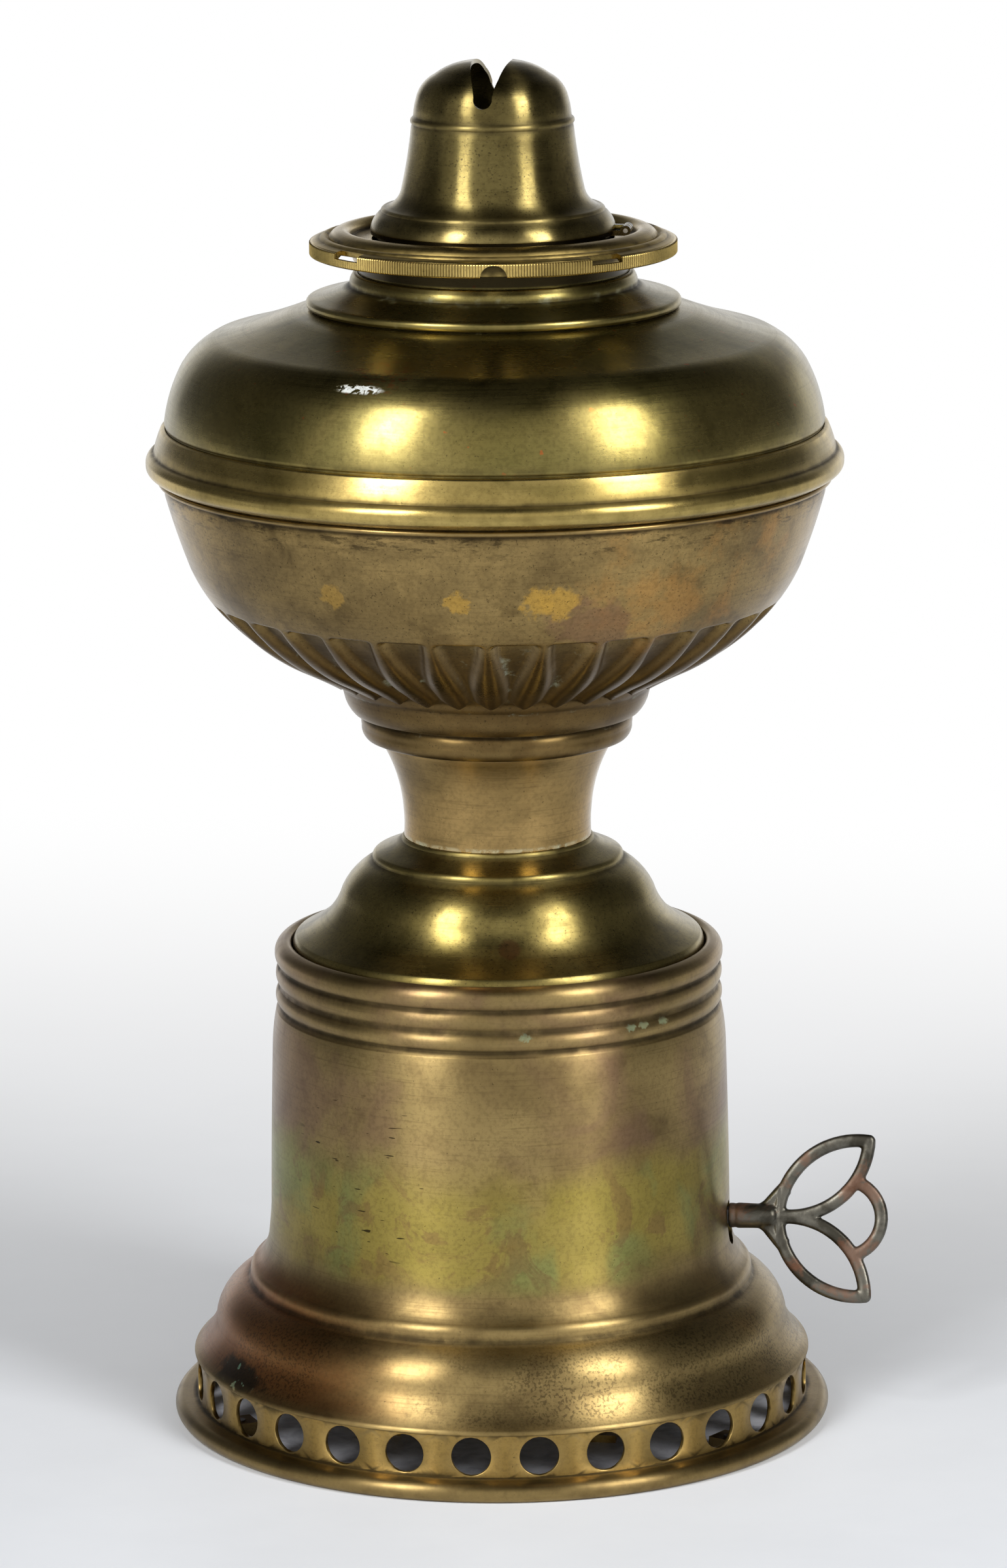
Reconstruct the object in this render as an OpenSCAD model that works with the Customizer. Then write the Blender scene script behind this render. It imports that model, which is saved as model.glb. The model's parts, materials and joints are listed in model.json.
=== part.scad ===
// Clockwork draught lamp: a wind-up movement in the base drives a fan that blows air
// up the hollow stem, round the oil tank and out past a flat wick.
// Origin on the lamp's centre line at the surface it stands on, +Z up, winding key along +X.

/* [Base casing] */
// Radius of the rolled foot rim, to the middle of the roll
rim_r = 70.1; // [69.6:0.1:70.6]
// Radius of the vented band
vent_r = 67.3; // [67:0.1:67.6]
// Number of round air holes in the band
vent_count = 29; // [12:1:31]
// Diameter of one air hole
vent_d = 8.4; // [5:0.2:8.6]
// Height of the air holes' centres
vent_z = 9; // [8.6:0.1:9.2]

/* [Font] */
// Number of flutes pressed into the lower bowl
flute_count = 32; // [16:4:36]
// Wall thickness of the sheet brass
wall = 0.9; // [0.7:0.1:1]
// Outside radius of the oil tank inside the bowls
tank_r = 50; // [40:1:52]

/* [Burner] */
// Outside radius of the burner's neck
neck_r = 29; // [28.9:0.1:29]
// Outside radius of the milled ring
gallery_r = 39.4; // [38.8:0.1:39.6]
// Number of teeth milled round the ring
knurl_count = 200; // [60:20:240]
// Width of the flat wick
wick_w = 26; // [16:1:26]
// Thickness of the flat wick
wick_t = 2.6; // [1.6:0.1:2.6]
// Width of the flame slot at its middle
slot_w = 8.2; // [6:0.2:9]

/* [Movement] */
// Height of the winding arbor
arbor_z = 44.7; // [44:0.1:45]
// Distance from the centre plane to each plate's inner face
plate_x = 17; // [17:0.5:18]
// Thickness of a movement plate
plate_t = 1.6; // [1.2:0.1:2]
// Number of fan blades
blade_count = 8; // [4:1:10]
// Radius of the fan over its blade tips
fan_r = 38; // [24:1:40]

/* [Key] */
// How far the key's handle leans from upright, in degrees
key_lean = 19; // [0:1:30]
// Width of the bars that make the key's handle
key_bar = 2.85; // [2.2:0.05:3.2]

/* [Hidden] */
$fn = 96;
rim_roll_r = 2.1;
rim_axis_z = 2.0;
// Gears: teeth and module of each wheel and the pinion that it drives
great_n = 60;
great_m = 0.8;
second_n = 60;
second_m = 0.6;
third_n = 54;
third_m = 0.5;
contrate_n = 48;
contrate_m = 0.5;
pinion_n = 10;
last_pinion_n = 9;
fan_pinion_n = 8;
// Arbor centres in the plane of the plates, as [y, z]
great_at = [0, arbor_z];
second_at = [-26.5, arbor_z + 9];
third_at = [-15.74, arbor_z + 27];
contrate_at = [0, arbor_z + 27.3];
// Wheel layers along X, as [low, high]
great_x = [1, 3];
ratchet_x = [3.3, 4.8];
second_x = [-8, -6.5];
third_x = [-13, -11.5];
contrate_x = [-4, -2.6];
spring_x = [6.2, 15];
contrate_crown_r = contrate_n * contrate_m / 2;
fan_mesh_z = contrate_at[1] + contrate_crown_r;
plate_low = 15;
plate_high = 88;
plate_half_y = 36;
pillar_at = [[32, 20], [32, 84], [-32, 20], [-32, 84]];
arbor_r = 3.4;
keyhole_r = 3.3;
keyhole_drop = 3.2;
running = 0.05;
ratchet_n = 24;
ratchet_r = 9;
click_at = [0, 15.5];
// Burner: the wick spindle lies along Y beside the wick tube
spindle_x = 3.6;
spindle_z = 256.3;
spindle_r = 0.8;
spindle_pinion_n = 8;
gallery_crown_n = 88;
gallery_crown_r = 26.4;
plate_floor_z = 246;
hinge_x = 28.75;
hinge_z = 262;
knuckle_r = 1.1;
slot_foot_z = 291.2;
hinge_pin_r = 0.5;
cap_foot_z = 262;
slot_arc_r = 49;

// Points along an arc from p to q that bulges by s to the right of the way it runs
function bow(p, q, s, n = 6) = s == 0 ? [q] :
    let (d = q - p, half = norm(d) / 2, r = (half * half + s * s) / (2 * abs(s)))
    let (u = d / (2 * half), v = [d[1], -d[0]] / (2 * half) * sign(s))
    let (c = (p + q) / 2 - v * (r - abs(s)), a = asin(half / r))
    [for (k = [1:n]) c + r * (sin(a * (2 * k / n - 1)) * u + cos(a * (2 * k / n - 1)) * v)];

// Outline through [radius, height, bulge] rows
function outline(rows, n = 6) = concat([[rows[0][0], rows[0][1]]],
    [for (i = [1:len(rows) - 1], p = bow([rows[i - 1][0], rows[i - 1][1]],
        [rows[i][0], rows[i][1]], rows[i][2], n)) p]);

// The same outline moved bodily and run backwards, to close a sheet's section
function moved_back(points, by) = [for (i = [len(points) - 1:-1:0]) points[i] + by];

// A turned sheet whose inside face is its outside face moved by one vector
module sheet(rows, by, n = 6) {
    outside = outline(rows, n);
    rotate_extrude() polygon(concat(outside, moved_back(outside, by)));
}

// A turned solid from [radius, height, bulge] rows
module turned(rows, n = 6) {
    rotate_extrude() polygon(outline(rows, n));
}

// Copies round the lamp's axis
module around(count, phase = 0) {
    for (i = [0:count - 1]) rotate([0, 0, phase + i * 360 / count]) children();
}

// Extrudes a [y, z] drawing along X
module along_x(x0, x1) {
    translate([x0, 0, 0]) rotate([90, 0, 90]) linear_extrude(x1 - x0) children();
}

// A round bar along X at [y, z]
module bar_x(x0, x1, at, r) {
    translate([x0, at[0], at[1]]) rotate([0, 90, 0]) cylinder(r = r, h = x1 - x0);
}

// A round bar along Y
module bar_y(y0, y1, x, z, r) {
    translate([x, y1, z]) rotate([90, 0, 0]) cylinder(r = r, h = y1 - y0);
}

// Direction in degrees from one [y, z] centre to another
function bearing(from, to) = atan2(to[1] - from[1], to[0] - from[0]);

function polar(r, a) = [r * cos(a), r * sin(a)];

// A spur gear's outline with slim teeth; one tooth points along angle `at`
module spur(n, m, tip, root, half_tip, half_root, at) {
    pitch_a = 360 / n;
    tip_r = n * m / 2 + tip * m;
    root_r = n * m / 2 - root * m;
    polygon([for (i = [0:n - 1], k = [[root_r, -half_root], [n * m / 2, -half_root * 0.85],
        [tip_r, -half_tip], [tip_r, half_tip], [n * m / 2, half_root * 0.85],
        [root_r, half_root]]) polar(k[0], at + (i + k[1]) * pitch_a)]);
}

module wheel_teeth(n, m, at) {
    spur(n, m, 0.85, 1.15, 0.08, 0.22, at);
}

module pinion_teeth(n, m, at) {
    spur(n, m, 0.55, 1.3, 0.06, 0.19, at);
}

// A toothed wheel with round crossings, drawn at its own centre
module wheel_drawing(n, m, at, bore_r, hole_r, hole_at) {
    difference() {
        wheel_teeth(n, m, at);
        circle(r = bore_r);
        for (i = [0:4]) translate(polar(hole_at, 72 * i + 54)) circle(r = hole_r);
    }
}

// An arbor with a pinion, pivots in both plates and shoulders against them
module pinioned_arbor(at, r, pivot_r, pinion_x, n, m, tooth_at) {
    bar_x(-plate_x + 0.1, plate_x - 0.1, at, r);
    bar_x(-plate_x - plate_t - 0.3, -plate_x + 0.2, at, pivot_r);
    bar_x(plate_x - 0.2, plate_x + plate_t + 0.3, at, pivot_r);
    translate([0, at[0], at[1]]) along_x(pinion_x[0], pinion_x[1]) pinion_teeth(n, m, tooth_at);
}

// ---- Base -------------------------------------------------------------------------------

casing_outside = [[rim_r - 0.64, 0, 0], [rim_r + 0.64, 0, 0],
    [rim_r + rim_roll_r, rim_axis_z, 0.4], [rim_r, rim_axis_z + rim_roll_r, 0.61],
    [vent_r, 4.3, 0], [vent_r, 13.5, 0], [vent_r + 0.5, 13.9, 0.1], [vent_r - 0.1, 14.9, 0.15],
    [62.9, 21.2, -0.45], [55.6, 30.3, 1.85], [55.2, 30.9, 0], [55.2, 32.2, 0],
    [53.9, 34.1, 0.35], [50.9, 41.2, -0.75], [50.4, 47, -0.05], [49.6, 84, 0.1],
    [48.7, 91.2, 0.15], [47.95, 92.5, -0.1], [47.95, 96.2, 0.85], [47.95, 97.1, 0],
    [48, 101.1, 0.75], [48, 101.5, 0], [48.9, 103.7, 0.3], [46.9, 106.3, 0.6],
    [45.4, 105.9, 0.25]];
casing_inside = [[45.2, 104.6, 0], [47.2, 104.2, 0], [47.2, 100.4, 0], [43.9, 100.4, 0],
    [43.9, 99.5, 0], [47.2, 99.2, 0], [47.5, 91, 0], [48.7, 84, 0], [49.5, 47, 0],
    [50, 41, 0], [52.8, 33.9, 0.5], [54.2, 31.9, 0], [54.3, 29.7, 0], [61.8, 21, -1.7],
    [66.3, 13.6, 0.4], [66.3, 4.2, 0], [68.3, 1.6, 0]];

// Round at both ends: the key's ring fits the upper one
module keyhole() {
    bar_x(45, 56, [0, arbor_z], keyhole_r);
    bar_x(45, 56, [0, arbor_z - keyhole_drop], keyhole_r);
    translate([45, -keyhole_r, arbor_z - keyhole_drop]) cube([11, 2 * keyhole_r, keyhole_drop]);
}

module base_casing() {
    color("#8a6a3c") difference() {
        turned(concat(casing_outside, casing_inside));
        around(vent_count, 1.8) translate([0, -60, vent_z]) rotate([90, 0, 0])
            cylinder(d = vent_d, h = 12);
        keyhole();
    }
}

module bottom_cover() {
    color("#6b5a3a") difference() {
        turned([[0, 0, 0], [66, 0, 0], [66, 0.9, 0], [0, 0.9, 0]]);
        around(3, 90) translate([62, 0, -1]) cylinder(r = 1.6, h = 3);
    }
}

module cover_lugs() {
    color("#8a6a3c") around(3, 90) difference() {
        translate([58.6, -3, 0.9]) cube([7.6, 6, 3.1]);
        translate([62, 0, 0]) cylinder(r = 1.3, h = 5);
    }
}

module cover_screws() {
    color("#7a7468") around(3, 90) translate([62, 0, 0]) {
        translate([0, 0, 0.1]) cylinder(r = 1.5, h = 0.8);
        translate([0, 0, 0.85]) cylinder(r = 1.25, h = 3.3);
    }
}

module movement_feet() {
    color("#7d6a45") for (sx = [-1, 1], sy = [-1, 1]) {
        translate([sx * (plate_x + plate_t + 1.2) - 1.2, sy * 24 - 5, 0.9])
            cube([2.4, 10, plate_low + 9]);
        translate([sx * (plate_x + plate_t + 5) - 5, sy * 24 - 5, 0.9]) cube([10, 10, 1.6]);
    }
}

// ---- Movement ---------------------------------------------------------------------------

module plate_drawing(holes) {
    difference() {
        translate([-plate_half_y, plate_low]) square([2 * plate_half_y, plate_high - plate_low]);
        for (h = holes) translate([h[0], h[1]]) circle(r = h[2]);
        for (p = pillar_at) translate(p) circle(r = 1.05);
    }
}

arbor_holes = [[second_at[0], second_at[1], 0.9 + running],
    [third_at[0], third_at[1], 0.9 + running],
    [contrate_at[0], contrate_at[1], 0.9 + running]];

module front_plate() {
    color("#a8894a") along_x(plate_x, plate_x + plate_t)
        plate_drawing(concat([[0, arbor_z, 2.6 + running]], arbor_holes));
}

module back_plate() {
    color("#a8894a") along_x(-plate_x - plate_t, -plate_x)
        plate_drawing(concat([[0, arbor_z, 1.6 + running]], arbor_holes));
}

module plate_pillars() {
    color("#8f7c55") for (p = pillar_at) difference() {
        bar_x(-plate_x, plate_x, p, 2.2);
        bar_x(-plate_x - 1, -plate_x + 5.2, p, 1.05);
        bar_x(plate_x - 5.2, plate_x + 1, p, 1.05);
    }
}

module plate_screws() {
    color("#6f7178") for (p = pillar_at, s = [-1, 1]) translate([0, p[0], p[1]])
        rotate([0, 0, s < 0 ? 180 : 0]) {
            bar_x(plate_x - 5, plate_x + plate_t + 0.1, [0, 0], 1);
            bar_x(plate_x + plate_t, plate_x + plate_t + 1.2, [0, 0], 2);
        }
}

// Mainspring: a flat strip wound in a plain spiral round the arbor
spring_turns = 9;
spring_in = 4.6;
spring_out = 23.2;
spring_t = 0.55;
spring_steps = 24 * spring_turns;
function spiral(k, extra) = polar(
    spring_in + (spring_out - spring_in) * k / spring_steps + extra, k * 360 / 24);

module mainspring() {
    color("#4c5560") translate([0, 0, arbor_z]) along_x(spring_x[0], spring_x[1])
        polygon(concat([for (k = [0:spring_steps]) spiral(k, 0)],
            [for (k = [spring_steps:-1:0]) spiral(k, spring_t)]));
}

module spring_post() {
    color("#8f7c55") bar_x(5.6, plate_x, [26.4, arbor_z], 2.2);
}

module winding_arbor() {
    color("#5f646b") {
        bar_x(-plate_x - plate_t - 0.4, -plate_x + 0.2, great_at, 1.6);
        bar_x(-plate_x + 0.1, plate_x - 0.1, great_at, arbor_r);
        bar_x(plate_x - 0.2, plate_x + plate_t + 0.6, great_at, 2.6);
        bar_x(plate_x + plate_t + 0.5, 48, great_at, 2.1);
        translate([47.5, -1.5, arbor_z - 1.5]) cube([10, 3, 3]);
    }
}

module ratchet_wheel() {
    color("#8b7a4a") translate([0, 0, arbor_z]) along_x(ratchet_x[0], ratchet_x[1])
        difference() {
            polygon([for (i = [0:ratchet_n - 1], k = [0, 1])
                polar(k == 0 ? ratchet_r - 1.5 : ratchet_r, i * 360 / ratchet_n)]);
            circle(r = arbor_r);
        }
}

module wheel_washer() {
    color("#b39a5c") difference() {
        bar_x(0.2, great_x[0] - 0.1, great_at, 5.5);
        bar_x(0, 1, great_at, arbor_r);
    }
}

module great_wheel() {
    color("#b08f4a") translate([0, 0, arbor_z]) along_x(great_x[0], great_x[1])
        wheel_drawing(great_n, great_m, bearing(great_at, second_at), arbor_r + running, 4, 15.5);
}

module click_screw() {
    color("#6f7178") translate([0, 0, arbor_z]) {
        bar_x(great_x[1], ratchet_x[1] + 0.1, click_at, 1);
        bar_x(ratchet_x[1] + 0.1, ratchet_x[1] + 0.8, click_at, 1.9);
    }
}

// The click hooks over one tooth, and its nose lies just short of that tooth's upright face
module click() {
    nose = 90 - 360 / ratchet_n * 2;
    color("#5f646b") translate([0, 0, arbor_z]) along_x(ratchet_x[0], ratchet_x[1] - 0.1)
        difference() {
            union() {
                translate(click_at) circle(r = 2.2);
                polygon([click_at + [-1.2, 1.9], click_at + [-1.3, -1.8],
                    polar(ratchet_r + 0.45, nose - 0.6), polar(ratchet_r - 0.9, nose - 1.4),
                    polar(ratchet_r - 0.9, nose - 4.5), polar(ratchet_r + 1.3, nose - 6),
                    click_at + [2, 1]]);
            }
            translate(click_at) circle(r = 1 + running);
        }
}

module click_spring() {
    color("#4c5560") translate([0, 0, arbor_z]) along_x(great_x[1], ratchet_x[1] - 0.2)
        difference() {
            translate(click_at + [-2, 4.6]) square([9, 1.6]);
            translate(click_at + [-3, 4.2]) square([8, 1]);
        }
}

module second_arbor() {
    color("#5f646b") pinioned_arbor(second_at, 1.5, 0.9, [0.2, 4], pinion_n, great_m,
        bearing(great_at, second_at) + 180 + 180 / pinion_n);
}

module second_wheel() {
    color("#b08f4a") translate([0, second_at[0], second_at[1]])
        along_x(second_x[0], second_x[1])
            wheel_drawing(second_n, second_m, bearing(second_at, third_at), 1.5, 3.6, 10.5);
}

module third_arbor() {
    color("#5f646b") pinioned_arbor(third_at, 1.4, 0.9, [-9, -5.5], pinion_n, second_m,
        bearing(second_at, third_at) + 180 + 180 / pinion_n);
}

module third_wheel() {
    color("#b08f4a") translate([0, third_at[0], third_at[1]])
        along_x(third_x[0], third_x[1])
            wheel_drawing(third_n, third_m, bearing(third_at, contrate_at), 1.4, 2.7, 7.8);
}

module contrate_arbor() {
    color("#5f646b") pinioned_arbor(contrate_at, 1.2, 0.9, [-14, -10.5], last_pinion_n, third_m,
        bearing(third_at, contrate_at) + 180 + 180 / last_pinion_n);
}

// A crown tooth that stands along -Z from a ring of radius r, pointing to +X
module crown_tooth(r, face, height, half_root, half_tip) {
    translate([r - face / 2, 0, 0]) rotate([90, 0, 90]) linear_extrude(face)
        polygon([[-half_root, 0.3], [half_root, 0.3], [half_root, 0], [half_tip, -height],
            [-half_tip, -height], [-half_root, 0]]);
}

module contrate_wheel() {
    color("#b08f4a") {
        translate([0, contrate_at[0], contrate_at[1]]) along_x(contrate_x[0], contrate_x[1])
            difference() {
                circle(r = contrate_crown_r + 0.75);
                circle(r = 1.2);
                for (i = [0:4]) translate(polar(6.6, 72 * i)) circle(r = 2.5);
            }
        translate([contrate_x[1], contrate_at[0], contrate_at[1]]) rotate([0, -90, 0])
            around(contrate_n) crown_tooth(contrate_crown_r, 1.5, 1.1, 0.36, 0.14);
    }
}

module fan_bridge() {
    color("#a8894a") difference() {
        translate([-plate_x - plate_t, -5, plate_high])
            cube([2 * (plate_x + plate_t), 10, plate_t]);
        translate([0, 0, plate_high - 1]) cylinder(r = 1.2 + running, h = 4);
    }
}

module fan_potence() {
    color("#a8894a") difference() {
        translate([-2.2, -3, 78]) cube([plate_x + 2.2, 6, 2]);
        translate([0, 0, 77]) cylinder(r = 0.8 + running, h = 4);
    }
}

module fan_arbor() {
    color("#5f646b") {
        translate([0, 0, 77.8]) cylinder(r = 0.8, h = 2.5);
        translate([0, 0, 80.1]) cylinder(r = 1.2, h = 24);
        translate([0, 0, fan_mesh_z - 1.8]) linear_extrude(3.6)
            pinion_teeth(fan_pinion_n, contrate_m, 180 + 180 / fan_pinion_n);
    }
}

module fan_collar() {
    color("#b39a5c") difference() {
        translate([0, 0, plate_high + plate_t + 0.1]) cylinder(r = 2.4, h = 2);
        translate([0, 0, plate_high]) cylinder(r = 1.2, h = 5);
    }
}

module fan() {
    color("#9a8a5c") difference() {
        union() {
            translate([0, 0, 95]) cylinder(r = 6, h = 6);
            around(blade_count) intersection() {
                translate([0, 0, 98]) rotate([32, 0, 0]) translate([3, -8, -0.4])
                    cube([fan_r, 16, 0.8]);
                translate([0, 0, 90]) cylinder(r = fan_r, h = 20);
            }
        }
        translate([0, 0, 80]) cylinder(r = 1.2, h = 30);
    }
}

// ---- Key --------------------------------------------------------------------------------

leaf_r = 18.8;
leaf_mid = [71.1, 8.6];
leaf_out = [-0.653, 0.758];

module leaf(less) {
    intersection() {
        translate(leaf_mid + leaf_out * 11.7) circle(r = leaf_r - less);
        translate(leaf_mid - leaf_out * 11.7) circle(r = leaf_r - less);
    }
}

module key_drawing() {
    difference() {
        union() {
            for (s = [0, 1]) mirror([0, s]) leaf(0);
            difference() {
                translate([75.6, 0]) circle(r = 9.9);
                translate([60, -12]) square([15, 24]);
            }
            polygon([[54.4, -2.4], [57.2, -3.4], [59.4, -5.2], [61.4, -8], [64, 0],
                [61.4, 8], [59.4, 5.2], [57.2, 3.4], [54.4, 2.4]]);
        }
        for (s = [0, 1]) mirror([0, s]) leaf(key_bar);
        difference() {
            translate([75.6, 0]) circle(r = 9.9 - key_bar);
            for (s = [0, 1]) mirror([0, s]) leaf(0);
            translate([60, -12]) square([12, 24]);
        }
    }
}

module key() {
    color("#4a443e") translate([0, 0, arbor_z]) rotate([-key_lean, 0, 0]) difference() {
        union() {
            rotate([90, 0, 0]) translate([0, 0, -1.3]) linear_extrude(2.6) key_drawing();
            translate([52.4, 0, 0]) rotate([0, 90, 0]) cylinder(r1 = 2.8, r2 = 2.4, h = 8.8);
            bar_x(51.4, 52.6, [0, 0], 3);
        }
        rotate([key_lean, 0, 0]) translate([51, -1.55, -1.55]) cube([6.6, 3.1, 3.1]);
    }
}

// ---- Stem and font ----------------------------------------------------------------------

module shoulder_dome() {
    color("#8a7440") difference() {
        sheet([[44.9, 100.4, 0], [44.9, 105.5, 0], [44.2, 107.4, 0.15], [38, 111.2, -0.2],
            [34, 117.7, -0.5], [28, 123.9, 0.7], [27.3, 124.4, 0], [26.5, 126, 0.35],
            [25, 126.6, 0], [21, 128.6, -0.15], [20.6, 129.4, 0.1], [19, 129.4, 0]],
            [-wall, -wall]);
        translate([0, 0, 99]) cylinder(r = 50, h = 1.4);
        translate([0, 0, 120]) cylinder(r = 19.3, h = 12);
    }
}

module stem() {
    color("#86705a") turned([[19.5, 129.4, 0], [20.4, 129.4, 0], [20.45, 135.5, -0.15],
        [25.2, 150.6, -0.95], [25.2, 150.7, 0], [24.2, 150.7, 0], [19.5, 135.5, 0.95]]);
}

// The bowl is thicker where the flutes are pressed, so that its inside stays whole
bowl_belly = [[34.2, 163.2, 0], [43.3, 168, -0.12], [57.5, 178, 0.8], [66, 190, 0.75],
    [71.1, 205.5, 0.2]];
lower_bowl_outside = concat([[20, 150.7, 0], [25.4, 150.7, 0], [28.4, 151.6, 0.15],
    [29.3, 154.2, 0.35], [28.9, 156.6, 0.3], [28.9, 157, 0], [31, 157.2, 0.1],
    [33.1, 161.2, 0.35], [33.6, 162.7, -0.05]], bowl_belly, [[71.2, 207.6, 0],
    [72.3, 208, 0], [72.3, 208.9, 0.3], [71.3, 209.2, 0], [71.3, 214, 0]]);
lower_bowl_inside = [[70.4, 214, 0], [70.2, 205.5, 0], [65, 190.4, -0.2], [61, 184.5, 0],
    [57, 180, 0], [50.5, 176, 0], [40, 170, -0.5], [33, 166.4, 0], [32.2, 161.4, 0],
    [30.4, 158.4, 0], [27.9, 158, 0], [27.9, 152.6, 0], [20, 152.2, 0]];
flute_top = [61.4, 182.6];
flute_foot = [37, 165.2];

// One flute: a round-nosed groove that follows the bowl's curve and narrows downwards
module flute() {
    d = flute_top - flute_foot;
    middle = (flute_top + flute_foot) / 2 + [d[1], -d[0]] / norm(d) * 2.4;
    for (run = [[flute_top, middle, 2.9, 2.2], [middle, flute_foot, 2.2, 1.1]])
        let (s = run[1] - run[0], lift = [-s[1], s[0]] / norm(s) * (run[2] - 1.5))
            translate([run[0][0] + lift[0], 0, run[0][1] + lift[1]])
                rotate([0, 90 - atan2(s[1], s[0]), 0])
                    cylinder(r1 = run[2], r2 = run[3], h = norm(s));
}

module lower_bowl() {
    color("#7d6a45") difference() {
        turned(concat(lower_bowl_outside, lower_bowl_inside));
        around(flute_count, -90) flute();
    }
}

module belt_ring() {
    color("#a88d4e") turned([[71.4, 209.3, 0], [72.4, 209.3, 0], [74.2, 210.2, 0.1],
        [75.1, 212, 0.3], [74, 214.3, 0.4], [73.4, 214.5, 0], [73.3, 215.2, 0],
        [71.8, 219.6, 0.1], [71.3, 219.9, 0], [70.8, 219.9, 0], [70.8, 214.1, 0],
        [71.4, 214.1, 0]]);
}

module upper_bowl() {
    color("#7a6a3a") turned([[69.7, 214.6, 0], [70.7, 214.6, 0], [70.7, 220.2, 0],
        [71, 221.2, 0.1], [67.2, 233, 0.57], [60.7, 239, 0.62], [44, 244.2, -0.3],
        [39, 245.2, 0], [39, 244.3, 0], [44, 243.3, 0], [60.1, 238.2, 0.3],
        [66.3, 232.6, -0.55], [70, 221.2, -0.5]]);
}

module font_collar() {
    color("#98834c") turned([[27.6, 243.8, 0], [38.9, 243.8, 0], [38.9, 245.3, 0],
        [39.6, 245.4, 0], [40.2, 246.3, 0.2], [39.5, 247.4, 0.25], [37.4, 247.8, 0],
        [31.3, 249.9, -0.15], [30.9, 250.1, 0], [30.3, 252.4, 0.2], [29.7, 252.9, 0.12],
        [29.1, 252.9, 0], [29.1, 247.6, 0], [27.6, 247.6, 0]]);
}

module oil_tank() {
    color("#8c8264") turned([[0, 172, 0], [30, 172, 0], [tank_r - 6, 178, 1.5],
        [tank_r, 190, 1], [tank_r, 228, 0], [tank_r - 6, 236, 1.5], [20, 240, 0],
        [20, plate_floor_z, 0], [19.1, plate_floor_z, 0], [19.1, 239.2, 0],
        [tank_r - 6.5, 235.2, 0], [tank_r - wall, 228, -1.3], [tank_r - wall, 190, 0],
        [tank_r - 6.6, 178.7, -1], [30, 172.9, -1.4], [0, 172.9, 0]]);
}

module tank_stays() {
    color("#8a7440") around(4, 45) translate([tank_r + 0.02, -1.5, 204.5])
        cube([70 - tank_r - 0.15, 3, 1.2]);
}

// ---- Burner -----------------------------------------------------------------------------

module burner_plate() {
    color("#98834c") difference() {
        translate([0, 0, plate_floor_z]) cylinder(r = 27.5, h = 1);
        around(12) translate([22.2, 0, plate_floor_z - 1]) cylinder(r = 1.7, h = 3);
        translate([-2.15, -wick_w / 2 - 0.85, plate_floor_z - 1])
            cube([4.3, wick_w + 1.7, 3]);
    }
}

module burner_neck() {
    color("#7a6a3a") turned([[neck_r - 0.8, 247.6, 0], [neck_r, 247.6, 0],
        [neck_r, 259.1, 0], [neck_r - 0.8, 259.1, 0]]);
}

module spindle_bearings() {
    color("#98834c") difference() {
        for (y = [-19, 20.5]) {
            translate([spindle_x - 2, y - 0.5, plate_floor_z + 1]) cube([4, 1, 11]);
            translate([spindle_x - 2, y - 0.5, plate_floor_z + 1])
                cube([4, y < 0 ? 3 : 1, 0.8]);
        }
        bar_y(-21, 22, spindle_x, spindle_z, spindle_r + running);
    }
}

module wick_tube() {
    half_y = wick_w / 2 + 0.8;
    color("#a09060") difference() {
        translate([-2.1, -half_y, 198]) cube([4.2, 2 * half_y, 88]);
        translate([-1.6, -half_y + 0.5, 197]) cube([3.2, 2 * half_y - 1, 90]);
        for (y = [-7, 7]) translate([1, y - 1, spindle_z - 2.4]) cube([2, 2, 4.8]);
    }
}

module wick() {
    color("#d8d0b8") translate([-wick_t / 2, -wick_w / 2, 184]) cube([wick_t, wick_w, 103]);
}

// Star wheels on the spindle press the wick through windows in its tube
module wick_spindle() {
    color("#b39a5c") {
        bar_y(-20, 26.9, spindle_x, spindle_z, spindle_r);
        for (y = [-7, 7]) translate([spindle_x, y + 0.6, spindle_z]) rotate([90, 0, 0])
            linear_extrude(1.2) polygon([for (i = [0:11], k = [[2.22, 0], [1.6, 0.5]])
                polar(k[0], (i + k[1]) * 30)]);
        translate([spindle_x, 26.9, spindle_z]) rotate([90, 0, 0]) linear_extrude(1.5)
            pinion_teeth(spindle_pinion_n, 0.6, 90 + 180 / spindle_pinion_n);
    }
}

module cap_seat() {
    color("#98834c") difference() {
        union() {
            turned([[24.2, 247, 0], [25, 247, 0], [25, 261, 0], [26.2, 261.2, 0],
                [26.2, cap_foot_z, 0], [24.2, cap_foot_z, 0]]);
            for (y = [-2.6, 1]) {
                translate([25.2, y, 260.9]) cube([hinge_x - 25.2, 1.6, 1.1]);
                bar_y(y, y + 1.6, hinge_x, hinge_z, knuckle_r);
            }
        }
        bar_y(22, 27, spindle_x, spindle_z, 2);
        bar_y(-4, 4, hinge_x, hinge_z, hinge_pin_r);
    }
}

module hinge_pin() {
    color("#6f7178") bar_y(-2.8, 2.8, hinge_x, hinge_z, hinge_pin_r);
}

// Bearing of the crown tooth that stands in the pinion space above the spindle
crown_start = acos(spindle_x / gallery_crown_r);

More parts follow.
